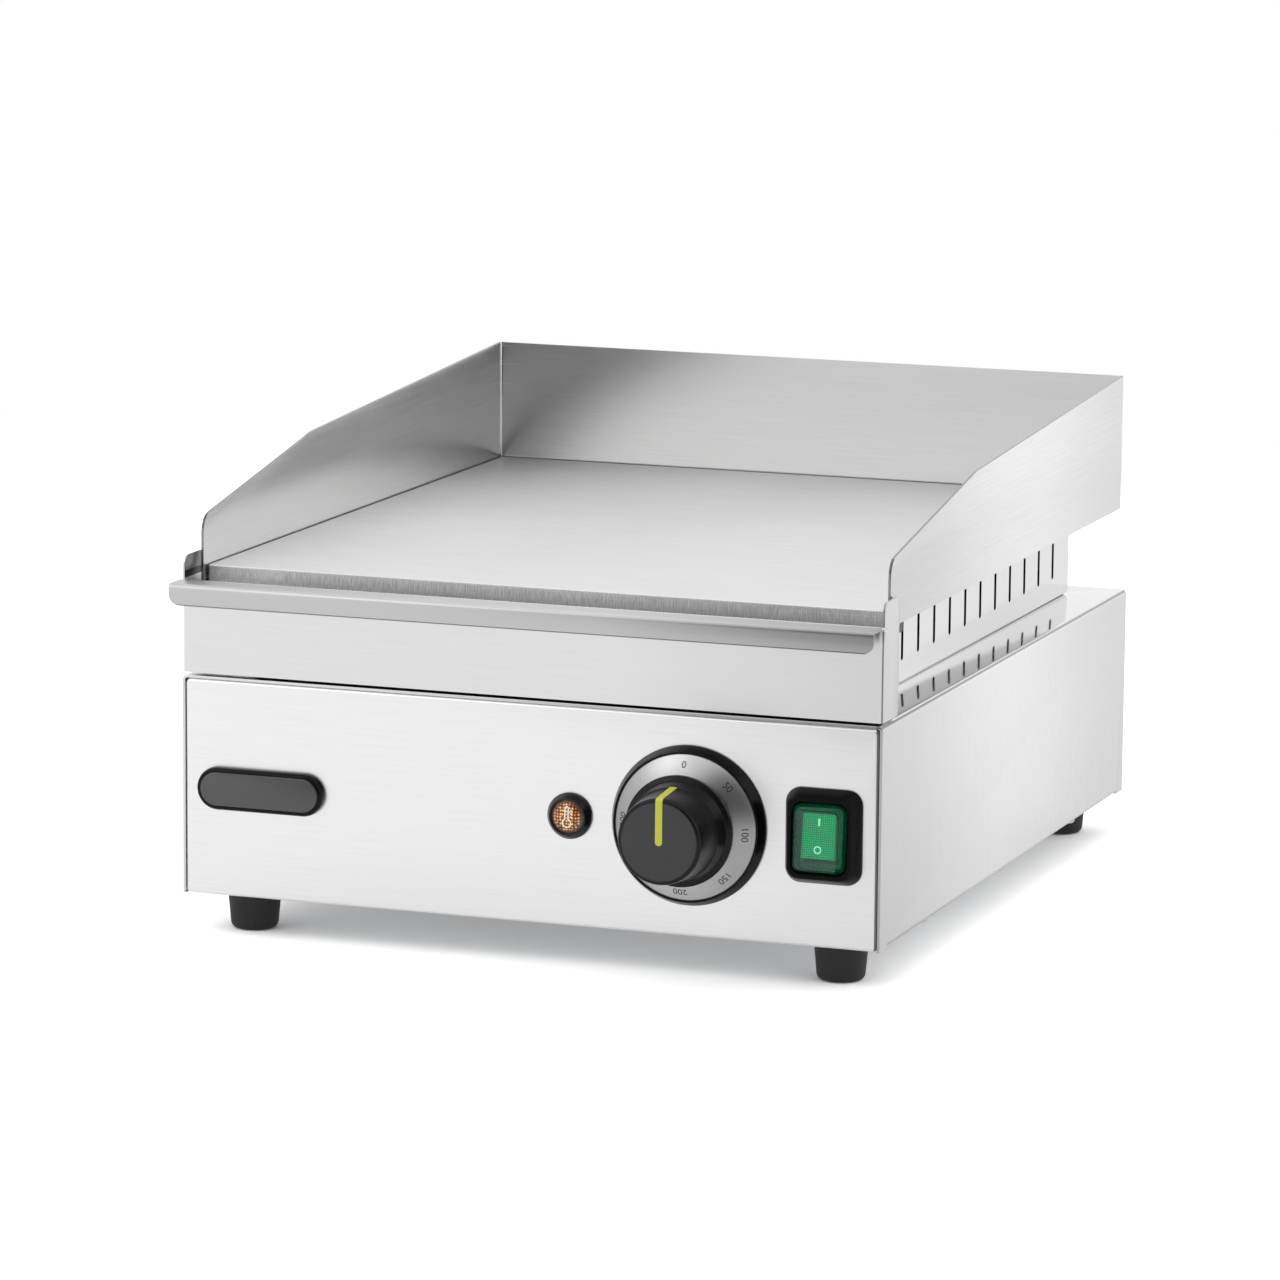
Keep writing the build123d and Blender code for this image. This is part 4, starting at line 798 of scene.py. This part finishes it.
def makeLensPaint():
    # amber plastic over a moulded field of small pyramids, with a painted highlight on each tip
    look = {"tipHighlight": (1.0, 0.80, 0.42, 1), "side": (0.85, 0.33, 0.05, 1), "deep": (0.06, 0.016, 0.006, 1),
            "rim": (0.075, 0.035, 0.025, 1), "tipAt": 0.10, "sideAt": 0.26, "deepAt": 0.52, "cells": 720.0,
            "unevenness": 0.35, "fieldRadius": 6.2 * mm, "fieldBlend": 0.5 * mm, "glow": 0.45,
            "roughness": 0.16, "coat": 0.5, "coatRoughness": 0.04, "bump": 0.6, "depth": 0.5 * mm}
    paint = Paint("lensAmber")
    cells = addNode(paint.tree, "ShaderNodeTexVoronoi", {
        "Vector": stretched(paint.coordinates["Object"], (1, 0, 1)), "Scale": look["cells"],
        "Randomness": look["unevenness"]}).outputs["Distance"]
    ramp = addNode(paint.tree, "ShaderNodeValToRGB", {"Fac": cells})
    stops = ramp.color_ramp.elements
    stops[0].position, stops[0].color = look["tipAt"], look["tipHighlight"]
    stops[1].position, stops[1].color = look["deepAt"], look["deep"]
    stops.new(look["sideAt"]).color = look["side"]
    field = paint.distanceFrom(centreOf("pilot_lens")).ramp(
        look["fieldRadius"] - look["fieldBlend"], look["fieldRadius"] + look["fieldBlend"])
    color = blended(field, ramp.outputs["Color"], look["rim"])
    paint.feed({"Base Color": color, "Emission Color": color, "Emission Strength": look["glow"],
                "Roughness": look["roughness"], "Coat Weight": look["coat"],
                "Coat Roughness": look["coatRoughness"]})
    paint.addBump(cells, look["bump"], look["depth"])
    return paint


def makeLens():
    radius, back = lampShape["lensRadius"], -lampShape["lensBack"]
    dome = [(radius * step / 16, -lensDepth(radius * step / 16, 0)) for step in range(17)]
    lens = turnedPiece("pilotLens", dome + [(radius, back), (0, back)], lampAt)
    standFor("pilot_lens", lens, makeLensPaint())


signShape = inMillimetres({
    "topRadius": 1.0, "bulbRadius": 2.2, "top": 4.0, "bulb": -2.6, "line": 0.5, "tickLength": 1.0,
    "tickStep": 1.4, "tickStart": 0.9, "base": 0.02, "height": 0.10})


def signOutline(grow):
    # up the right of the stem, over its top, down the left and round the bulb
    wide, radius, top = signShape["topRadius"] + grow, signShape["bulbRadius"] + grow, signShape["top"]
    lean = math.asin(wide / radius)
    foot = signShape["bulb"] + radius * math.cos(lean)
    points = [(wide, foot + (top - foot) * step / 10) for step in range(1, 10)]
    points += arc(0, top, wide, 0, math.pi, 12)
    points += [(-wide, top + (foot - top) * step / 10) for step in range(1, 10)]
    return points + arc(0, signShape["bulb"], radius, math.pi / 2 + lean, 2 * (math.pi - lean), 32)


def makeLampSign():
    # a small thermometer printed on the lens: its outline, and three marks beside the stem
    shape = signShape
    half, line, base, height = pick(shape, "topRadius line base height")
    bm = bmesh.new()

    def onLens(points, out):
        return [bm.verts.new(lampAt + Vector((x, -lensDepth(x, z) - out, z))) for x, z in points]
    outer, inner = signOutline(0), signOutline(-line)
    rows = [onLens(outer, base), onLens(outer, height), onLens(inner, height), onLens(inner, base)]
    bridge(bm, rows + rows[:1])
    neck = shape["bulb"] + math.sqrt(shape["bulbRadius"] ** 2 - half ** 2)
    left = half + line * 1.2
    right = left + shape["tickLength"]
    for index in range(3):
        z = neck + shape["tickStart"] + index * shape["tickStep"]
        low, high = z - line / 2, z + line / 2
        corners = [(left, low), (right, low), (right, high), (left, high)]
        ends = [onLens(corners, base), onLens(corners, height)]
        bridge(bm, ends)
        for end in ends:
            bm.faces.new(end)
    sign = newObject("lampSign", closedMesh(bm, "lampSign"))
    finishPiece(sign, plastic["white"].material, node="pilot_lens")


makeLampRing()
makeLens()
makeLampSign()
print("pilot lamp made")

switchAt = onPanel("boot_frame")
# sizes are width, height and corner radius
bootShape = inMillimetres({
    "base": (35.0, 42.3, 7.0), "front": (28.8, 35.6, 5.0), "opening": (24.7, 30.7, 4.5), "flange": 0.9,
    "frontHeight": 7.6, "ledge": 1.7}, cushion=0.35, tilt=3.0)


def grown(size, *steps):
    return tuple(value + step for value, step in zip(size, steps))


def makeBootFrame():
    shape = bootShape
    base, front, opening, flange, height, cushion, tilt = pick(
        shape, "base front opening flange frontHeight cushion tilt")
    layers = [base + (0, 0), base + (-flange, 0)]
    for step in range(1, 9):
        # a cushion-like slope from the flange up to the front edge
        share = step / 8
        rise = cushion * math.sin(share * math.pi / 2) + (1 - cushion) * share
        layers.append(between(base, front, share) + (-flange - (height - flange) * rise, tilt * share))
    back = grown(opening, 0.6 * mm, 1.6 * mm, 0)
    layers += [
        grown(front, -0.9 * mm, -0.9 * mm, -0.4 * mm) + (-height - 0.05 * mm, tilt),
        grown(opening, 1.2 * mm, 1.2 * mm, 0.3 * mm) + (-height + 0.15 * mm, tilt),
        opening + (-height + 1.0 * mm, tilt), opening + (-shape["ledge"], 0),
        back + (-shape["ledge"] + 0.05 * mm, 0), back + (0, 0), layers[0]]
    standFor("boot_frame", layeredPiece("bootFrame", layers, switchAt, capped=False), plastic["bootFrame"])


coverShape = inMillimetres({
    "base": (24.4, 30.4, 4.4), "face": (20.8, 27.0, 3.0), "back": 1.5, "shoulder": 7.0, "front": 12.4,
    "wall": 0.8, "rounding": 0.8}, tilt=3.0, shoulderTilt=0.3)


def makeCoverPaint():
    # clear where it is thin, over the face; deep green through its thick side walls
    look = {"face": (0.62, 0.99, 0.84, 1), "wall": (0.02, 0.70, 0.34, 1), "faceFrom": 0.80, "faceTo": 0.97,
            "scale": 500.0, "roughness": 0.05, "specular": 0.20, "clear": 0.95, "bending": 1.24, "bump": 0.05}
    paint = Paint("coverGreen", mouldedGroup, {
        "Color": (1, 1, 1, 1), "Texture Scale": look["scale"], "Shade Spread": 0.1,
        "Roughness": look["roughness"], "Roughness Spread": 0.05})
    flat = abs(paint.facing()[1]).ramp(look["faceFrom"], look["faceTo"])
    paint.feed({"Base Color": blended(flat, look["wall"], look["face"]),
                "Roughness": paint.skin["Roughness"], "Transmission Weight": look["clear"],
                "IOR": look["bending"], "Specular IOR Level": look["specular"]})
    paint.addBump(paint.skin["Height"], look["bump"], 0.05 * mm)
    return paint


def coverLayers(inset):
    # from the open back up the walls, then round the edge of the face
    shape = coverShape
    base, face = (grown(size, -2 * inset, -2 * inset, -inset) for size in pick(shape, "base face"))
    tilt, rounding, lean = pick(shape, "tilt rounding shoulderTilt")
    shoulder, turnStart = -shape["shoulder"], inset - shape["front"] + rounding
    layers = [base + (-shape["back"], 0)]
    for step in range(6):
        share = step / 6
        place = (shoulder + (turnStart - shoulder) * share, tilt * (lean + (1 - lean) * share))
        layers.append(between(base, face, share) + place)
    for inward, along in roundedEdge(4):
        shrink = -2 * rounding * inward
        layers.append(grown(face, shrink, shrink, 0) + (turnStart - rounding * along, tilt))
    return layers


def makeCover():
    bm = bmesh.new()
    shells = [layerRings(bm, coverLayers(inset), switchAt, 6) for inset in (0, coverShape["wall"])]
    for rings in shells:
        bm.faces.new(rings[-1])
    bridge(bm, [rings[0] for rings in shells])
    cover = newObject("bootCover", closedMesh(bm, "bootCover", softSharpTurn))
    standFor("boot_cover", cover, makeCoverPaint())


rockerShape = inMillimetres({
    "width": 14.8, "height": 20.0, "face": 9.6, "pivotY": 1.0, "skirt": 5.6, "back": 2.0, "edge": 0.5,
    "sideEdge": 0.3, "dish": 0.25, "markHeight": 0.06, "markSink": 0.16, "barSize": (0.9, 3.6, 0.2),
    "barZ": 6.2, "ringZ": -6.0, "ringInner": 1.15, "ringOuter": 1.75}, tilt=9.0)
rockerPlace = Matrix.Translation(switchAt + Vector((0, rockerShape["pivotY"], 0))) @ Matrix.Rotation(
    math.radians(-rockerShape["tilt"]), 4, "X")


def makeRockerPaint():
    # translucent lens with a fine square grid moulded into its back
    look = {"color": (0.0, 0.12, 0.05, 1), "light": (0.0, 0.66, 0.28, 1), "cells": 1050.0, "lineFrom": 0.24,
            "lineTo": 0.44, "glow": 0.22, "roughness": 0.3, "specular": 0.12, "bump": 0.2, "depth": 0.1 * mm}
    paint = Paint("rockerGreen")
    across, up = (abs((value * look["cells"]).math("FRACT") - 0.5) for value in paint.place()[::2])
    height = across.math("MAXIMUM", up)
    mask = height.ramp(look["lineTo"], look["lineFrom"])
    color = blended(mask, look["color"], look["light"])
    paint.feed({"Base Color": color, "Emission Color": color, "Emission Strength": look["glow"],
                "Roughness": look["roughness"], "Specular IOR Level": look["specular"]})
    paint.addBump(height, look["bump"], look["depth"])
    return paint


def makeRocker():
    shape = rockerShape
    half, front, side, edge, sideEdge = (
        shape["height"] / 2, -shape["face"], shape["width"] / 2, shape["edge"], shape["sideEdge"])
    outline = [(shape["back"], half / 2), (front + shape["skirt"], half), (front + edge, half),
               (front + 0.3 * edge, half - 0.3 * edge), (front, half - edge)]
    for step in range(1, 12):
        # the face is very slightly dished from end to end
        z = (half - edge) * (1 - step / 6)
        outline.append((front + shape["dish"] * (1 - (z / half) ** 2), z))
    outline += [(y, -z) for y, z in reversed(outline[:5])]
    bm = bmesh.new()
    rings = []
    for x, inset in ((-side, sideEdge), (sideEdge - side, 0), (side - sideEdge, 0), (side, sideEdge)):
        rings.append([bm.verts.new((x, y + inset if y < -1 * mm else y, z * (1 - inset / half)))
                      for y, z in outline])
    bridge(bm, rings)
    bm.faces.new(rings[0])
    bm.faces.new(rings[-1])
    rocker = newObject("switchRocker", closedMesh(bm, "switchRocker", softSharpTurn))
    rocker.data.transform(rockerPlace)
    standFor("switch_rocker", rocker, makeRockerPaint())


def makeRockerMarks():
    shape = rockerShape
    under, y = -shape["markHeight"], shape["markSink"] - shape["face"]
    inner, outer, barSize = pick(shape, "ringInner ringOuter barSize")
    bar = layeredPiece("bar", [barSize + (under, 0), barSize + (0, 0)], (0, y, shape["barZ"]), steps=3)
    ring = turnedPiece("ring", [(inner, under), (outer, under), (outer, 0), (inner, 0), (inner, under)],
                       (0, y, shape["ringZ"]), sides=40)
    marks = newObject("rockerMarks", joinMeshes("rockerMarks", [bar.data, ring.data]))
    for piece in (bar, ring):
        bpy.data.objects.remove(piece)
    marks.data.transform(rockerPlace)
    finishPiece(marks, plastic["white"].material, node="switch_rocker")


makeBootFrame()
makeCover()
makeRocker()
makeRockerMarks()
print("switch made")

guardStrip = inMillimetres({"width": 0.8, "height": 4.8, "length": 18.0, "fromFront": 1.6, "lap": 0.3})


def makeGuardShadowStrips():
    # short dark strips, put in as painted shadow, close the gap under the feet of the guard's side walls
    shape = guardStrip
    width, height = shape["width"], shape["height"]
    section = (width, height, width * 0.3)
    low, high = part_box("splash_guard")
    y, z = low[1] + shape["fromFront"], low[2] + shape["lap"] - height / 2
    for name, x in (("guardStripLeft", low[0] + width), ("guardStripRight", high[0] - width)):
        strip = layeredPiece(name, [section + (0, 0), section + (shape["length"], 0)], (x, y, z), steps=3)
        finishPiece(strip, steel["element"].material, node="splash_guard")


makeGuardShadowStrips()

# a plain plate in a black surround
badgeShape = inMillimetres({
    "length": 61.0, "height": 19.5, "thick": 4.0, "side": 1.6, "rounding": 1.7, "rim": 1.9,
    "recess": 0.15})


def makeBadge():
    shape = badgeShape
    length, height, thick, side, rim = pick(shape, "length height thick side rim")
    face = thick - shape["recess"]
    at = onPanel("badge_plate")

    def layer(inset, along):
        return (length - 2 * inset, height - 2 * inset, height / 2 - inset - 0.01 * mm, -along, 0)
    layers = [layer(0, 0), layer(0, side)]
    for inward, along in roundedEdge(6)[1:]:
        layers.append(layer(shape["rounding"] * inward, side + (thick - side) * along))
    layers += [layer(rim + 0.1 * mm, thick), layer(rim + 0.2 * mm, face)]
    standFor("badge_plate", layeredPiece("badgeSurround", layers, at, steps=14), plastic["bezel"])
    layers = [layer(rim + 0.25 * mm, face - 0.1 * mm), layer(rim + 0.25 * mm, face + 0.05 * mm),
              layer(rim + 0.45 * mm, thick - 0.02 * mm)]
    plate = layeredPiece("badgeFace", layers, at, steps=14)
    finishPiece(plate, steel["badge"].material, node="badge_plate")


makeBadge()
print("badge made")

screwShape = inMillimetres({
    "radius": 3.7, "height": 2.3, "rounding": 1.3, "side": 0.9, "recessWidth": 0.9, "recessReach": 2.1,
    "recessDepth": 1.0, "shank": 2.0, "shankLength": 4.0})


def makeScrewHead():
    # a pan head with a cross recess, its seat at the origin and its top towards +Z
    shape = screwShape
    radius, height, side, shank = pick(shape, "radius height side shank")
    profile = [(0, -shape["shankLength"]), (shank, -shape["shankLength"]), (shank, 0), (radius, 0)]
    for inward, along in roundedEdge(6):
        profile.append((radius - shape["rounding"] * inward, side + (height - side) * along))
    profile.append((0, height))
    head = turnedPiece("screwHead", profile, (0, 0, 0), sides=32, axis="Z")
    bm = bmesh.new()
    size = Matrix.Diagonal((2 * shape["recessReach"], shape["recessWidth"], 2 * shape["recessDepth"], 1))
    for degrees in (0, 90):
        turned = Matrix.Translation((0, 0, height)) @ Matrix.Rotation(math.radians(degrees), 4, "Z")
        bmesh.ops.create_cube(bm, size=1, matrix=turned @ size)
    cutter = newObject("crossTool", plainMesh(bm, "crossTool"))
    setUp(head.modifiers.new("recess", "BOOLEAN"), operation="DIFFERENCE", solver="EXACT", use_self=True,
          object=cutter)
    applyModifiers(head)
    bpy.data.objects.remove(cutter)
    return head


def makeScrewTree():
    # screws set out in a grid, each turned at random
    tree, given, put = newGroup("GeometryNodeTree", "screwRow", (
        ("Object", "Head"), ("Int", "Columns", 2), ("Int", "Rows", 3), ("Float", "Width", 0.3),
        ("Float", "Height", 0.07), ("Vector", "Turn", (0, 0, 0)), ("Vector", "Centre", (0, 0, 0)),
        ("Int", "Seed", 3), ("Material", "Finish")), (("Geometry", "Geometry"),))
    grid = addNode(tree, "GeometryNodeMeshGrid", {
        "Size X": given["Width"], "Size Y": given["Height"], "Vertices X": given["Columns"],
        "Vertices Y": given["Rows"]})
    head = addNode(tree, "GeometryNodeObjectInfo", {"Object": given["Head"]})
    spin = addNode(tree, "FunctionNodeRandomValue", {0: (0, 0, 0), 1: (0, 0, 1.5), "Seed": given["Seed"]},
                   data_type="FLOAT_VECTOR")
    heads = addNode(tree, "GeometryNodeInstanceOnPoints", {
        "Points": grid.outputs["Mesh"], "Instance": head.outputs["Geometry"], "Rotation": spin.outputs[0]})
    placed = addNode(tree, "GeometryNodeTransform", {
        "Geometry": heads.outputs["Instances"], "Rotation": given["Turn"], "Translation": given["Centre"]})
    real = addNode(tree, "GeometryNodeRealizeInstances", {"Geometry": placed.outputs["Geometry"]})
    finish = addNode(tree, "GeometryNodeSetMaterial", {
        "Geometry": real.outputs["Geometry"], "Material": given["Finish"]})
    feed(put["Geometry"], finish.outputs["Geometry"])
    return tree


def screwRows(name, tree, node, head, upAxis, turn, centre, seed):
    # the rows fill the box of the CAD's screws, across X and along the other axis
    low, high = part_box(node)
    values = {"Head": head, "Columns": 2, "Rows": 3, "Width": high[0] - low[0] - 2 * screwShape["radius"],
              "Height": high[upAxis] - low[upAxis] - 2 * screwShape["radius"], "Turn": turn, "Centre": centre,
              "Seed": seed, "Finish": steel["zinc"].material}
    piece = newObject(name, bpy.data.meshes.new(name))
    rows = setUp(piece.modifiers.new("rows", "NODES"), node_group=tree)
    identifiers = {item.name: item.identifier for item in tree.interface.items_tree if item.in_out == "INPUT"}
    for label, value in values.items():
        rows[identifiers[label]] = value
    applyModifiers(piece)
    standFor(node, piece, steel["zinc"])


screwHead = makeScrewHead()
screwTree = makeScrewTree()
rearCentre, baseCentre = centreOf("rear_screws"), centreOf("base_screws")
screwRows("rearScrews", screwTree, "rear_screws", screwHead, 2, (-math.pi / 2, 0, 0),
          (0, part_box("rear_panel")[1][1], rearCentre.z), 3)
screwRows("baseScrews", screwTree, "base_screws", screwHead, 1, (math.pi, 0, 0),
          (0, baseCentre.y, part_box("outer_casing")[0][2]), 5)
bpy.data.objects.remove(screwHead)
print("screws set")

# the dim part of the room is given by its direction and its angles in degrees
studio = {"floorSize": 2.6, "floorShade": 0.80, "floorSeen": 1.9, "floorGlow": 0.25, "roomStrength": 0.86,
          "dimStrength": 0.0, "dimToward": (0.43, -0.90, 0.17), "dimInner": 26.0, "dimOuter": 42.0,
          "lightTarget": (0, 0, 0.1)}
lights = {
    "keyLight": {"place": (-1.6, -1.7, 1.9), "size": (1.4, 1.4), "power": 6.0},
    "fillLight": {"place": (1.9, -0.9, 1.3), "size": (1.0, 1.4), "power": 2.0},
    "topLight": {"place": (0.0, 0.4, 2.2), "size": (1.6, 1.6), "power": 3.0},
}


def rayKinds(tree):
    rays = addNode(tree, "ShaderNodeLightPath").outputs
    return [Value(rays[label]) for label in ("Is Camera Ray", "Is Glossy Ray", "Is Transmission Ray")]


def makeFloor():
    bm = bmesh.new()
    bmesh.ops.create_grid(bm, x_segments=1, y_segments=1, size=studio["floorSize"] / 2)
    floor = newObject("floor", plainMesh(bm, "floor"))
    material = bpy.data.materials.new("floorPaper")
    material.use_nodes = True
    tree = material.node_tree
    tree.nodes.clear()
    seen, glossy, through = rayKinds(tree)
    shade = seen.math("MULTIPLY_ADD", studio["floorSeen"] - studio["floorShade"], studio["floorShade"])
    paper = addNode(tree, "ShaderNodeBsdfDiffuse", {"Color": shade})
    glow = addNode(tree, "ShaderNodeEmission", {
        "Color": (1, 1, 1, 1), "Strength": glossy.math("ADD", through, clamp=True) * studio["floorGlow"]})
    sheet = addNode(tree, "ShaderNodeAddShader", {0: paper.outputs[0], 1: glow.outputs[0]})
    addNode(tree, "ShaderNodeOutputMaterial", {"Surface": sheet.outputs[0]})
    floor.data.materials.append(material)


def makeWorld():
    world = bpy.data.worlds.new("studio")
    bpy.context.scene.world = world
    world.use_nodes = True
    tree = world.node_tree
    seen, glossy, through = rayKinds(tree)
    # the open side of the room, where no screen stands, is dim; steel turned that way shows it
    direction = addNode(tree, "ShaderNodeTexCoord").outputs["Generated"]
    toward = vectorMath("DOT_PRODUCT", direction, 1, Vector(studio["dimToward"]).normalized())["Value"]
    outer, inner = (math.cos(math.radians(angle)) for angle in pick(studio, "dimOuter dimInner"))
    side = Value(toward).ramp(outer, inner, 1.0, studio["dimStrength"])
    white = seen.math("MAXIMUM", glossy.math("MAXIMUM", through)).ramp(0.0, 1.0, studio["roomStrength"], 1.0)
    background = tree.nodes["Background"].inputs
    feed(background["Color"], (1, 1, 1, 1))
    feed(background["Strength"], white * side.math("MAXIMUM", seen))


def addLight(name, place, size, power):
    lamp = setUp(bpy.data.lights.new(name, "AREA"), shape="RECTANGLE", size=size[0], size_y=size[1],
                 energy=power)
    away = Vector(place) - Vector(studio["lightTarget"])
    holder = newObject(name, lamp)
    holder.matrix_world = Matrix.Translation(place) @ away.to_track_quat("Z", "Y").to_matrix().to_4x4()


cameraSet = inMillimetres({
    "place": (969.6, -2538.3, 604.9)},
    azimuth=19.85, elevation=9.97, roll=0.50, lens=176.55, sensor=36, clipEnd=50)


def makeCamera():
    turn, rise, roll = (math.radians(angle) for angle in pick(cameraSet, "azimuth elevation roll"))
    back = Vector((math.sin(turn) * math.cos(rise), -math.cos(turn) * math.cos(rise), math.sin(rise)))
    right = Vector((math.cos(turn), math.sin(turn), 0))
    up = back.cross(right)
    rolledRight = right * math.cos(roll) + up * math.sin(roll)
    rolledUp = up * math.cos(roll) - right * math.sin(roll)
    place = Vector((0, panelY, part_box("outer_casing")[0][2])) + Vector(cameraSet["place"])
    camera = setUp(bpy.data.cameras.new("camera"), sensor_width=cameraSet["sensor"], lens=cameraSet["lens"],
                   clip_end=cameraSet["clipEnd"])
    holder = newObject("camera", camera)
    turned = Matrix((rolledRight, rolledUp, back)).transposed().to_4x4()
    holder.matrix_world = Matrix.Translation(place) @ turned
    bpy.context.scene.camera = holder


makeFloor()
makeWorld()
for name, light in lights.items():
    addLight(name, **light)
makeCamera()
bpy.context.scene.view_settings.view_transform = "Standard"

print("scene ready")
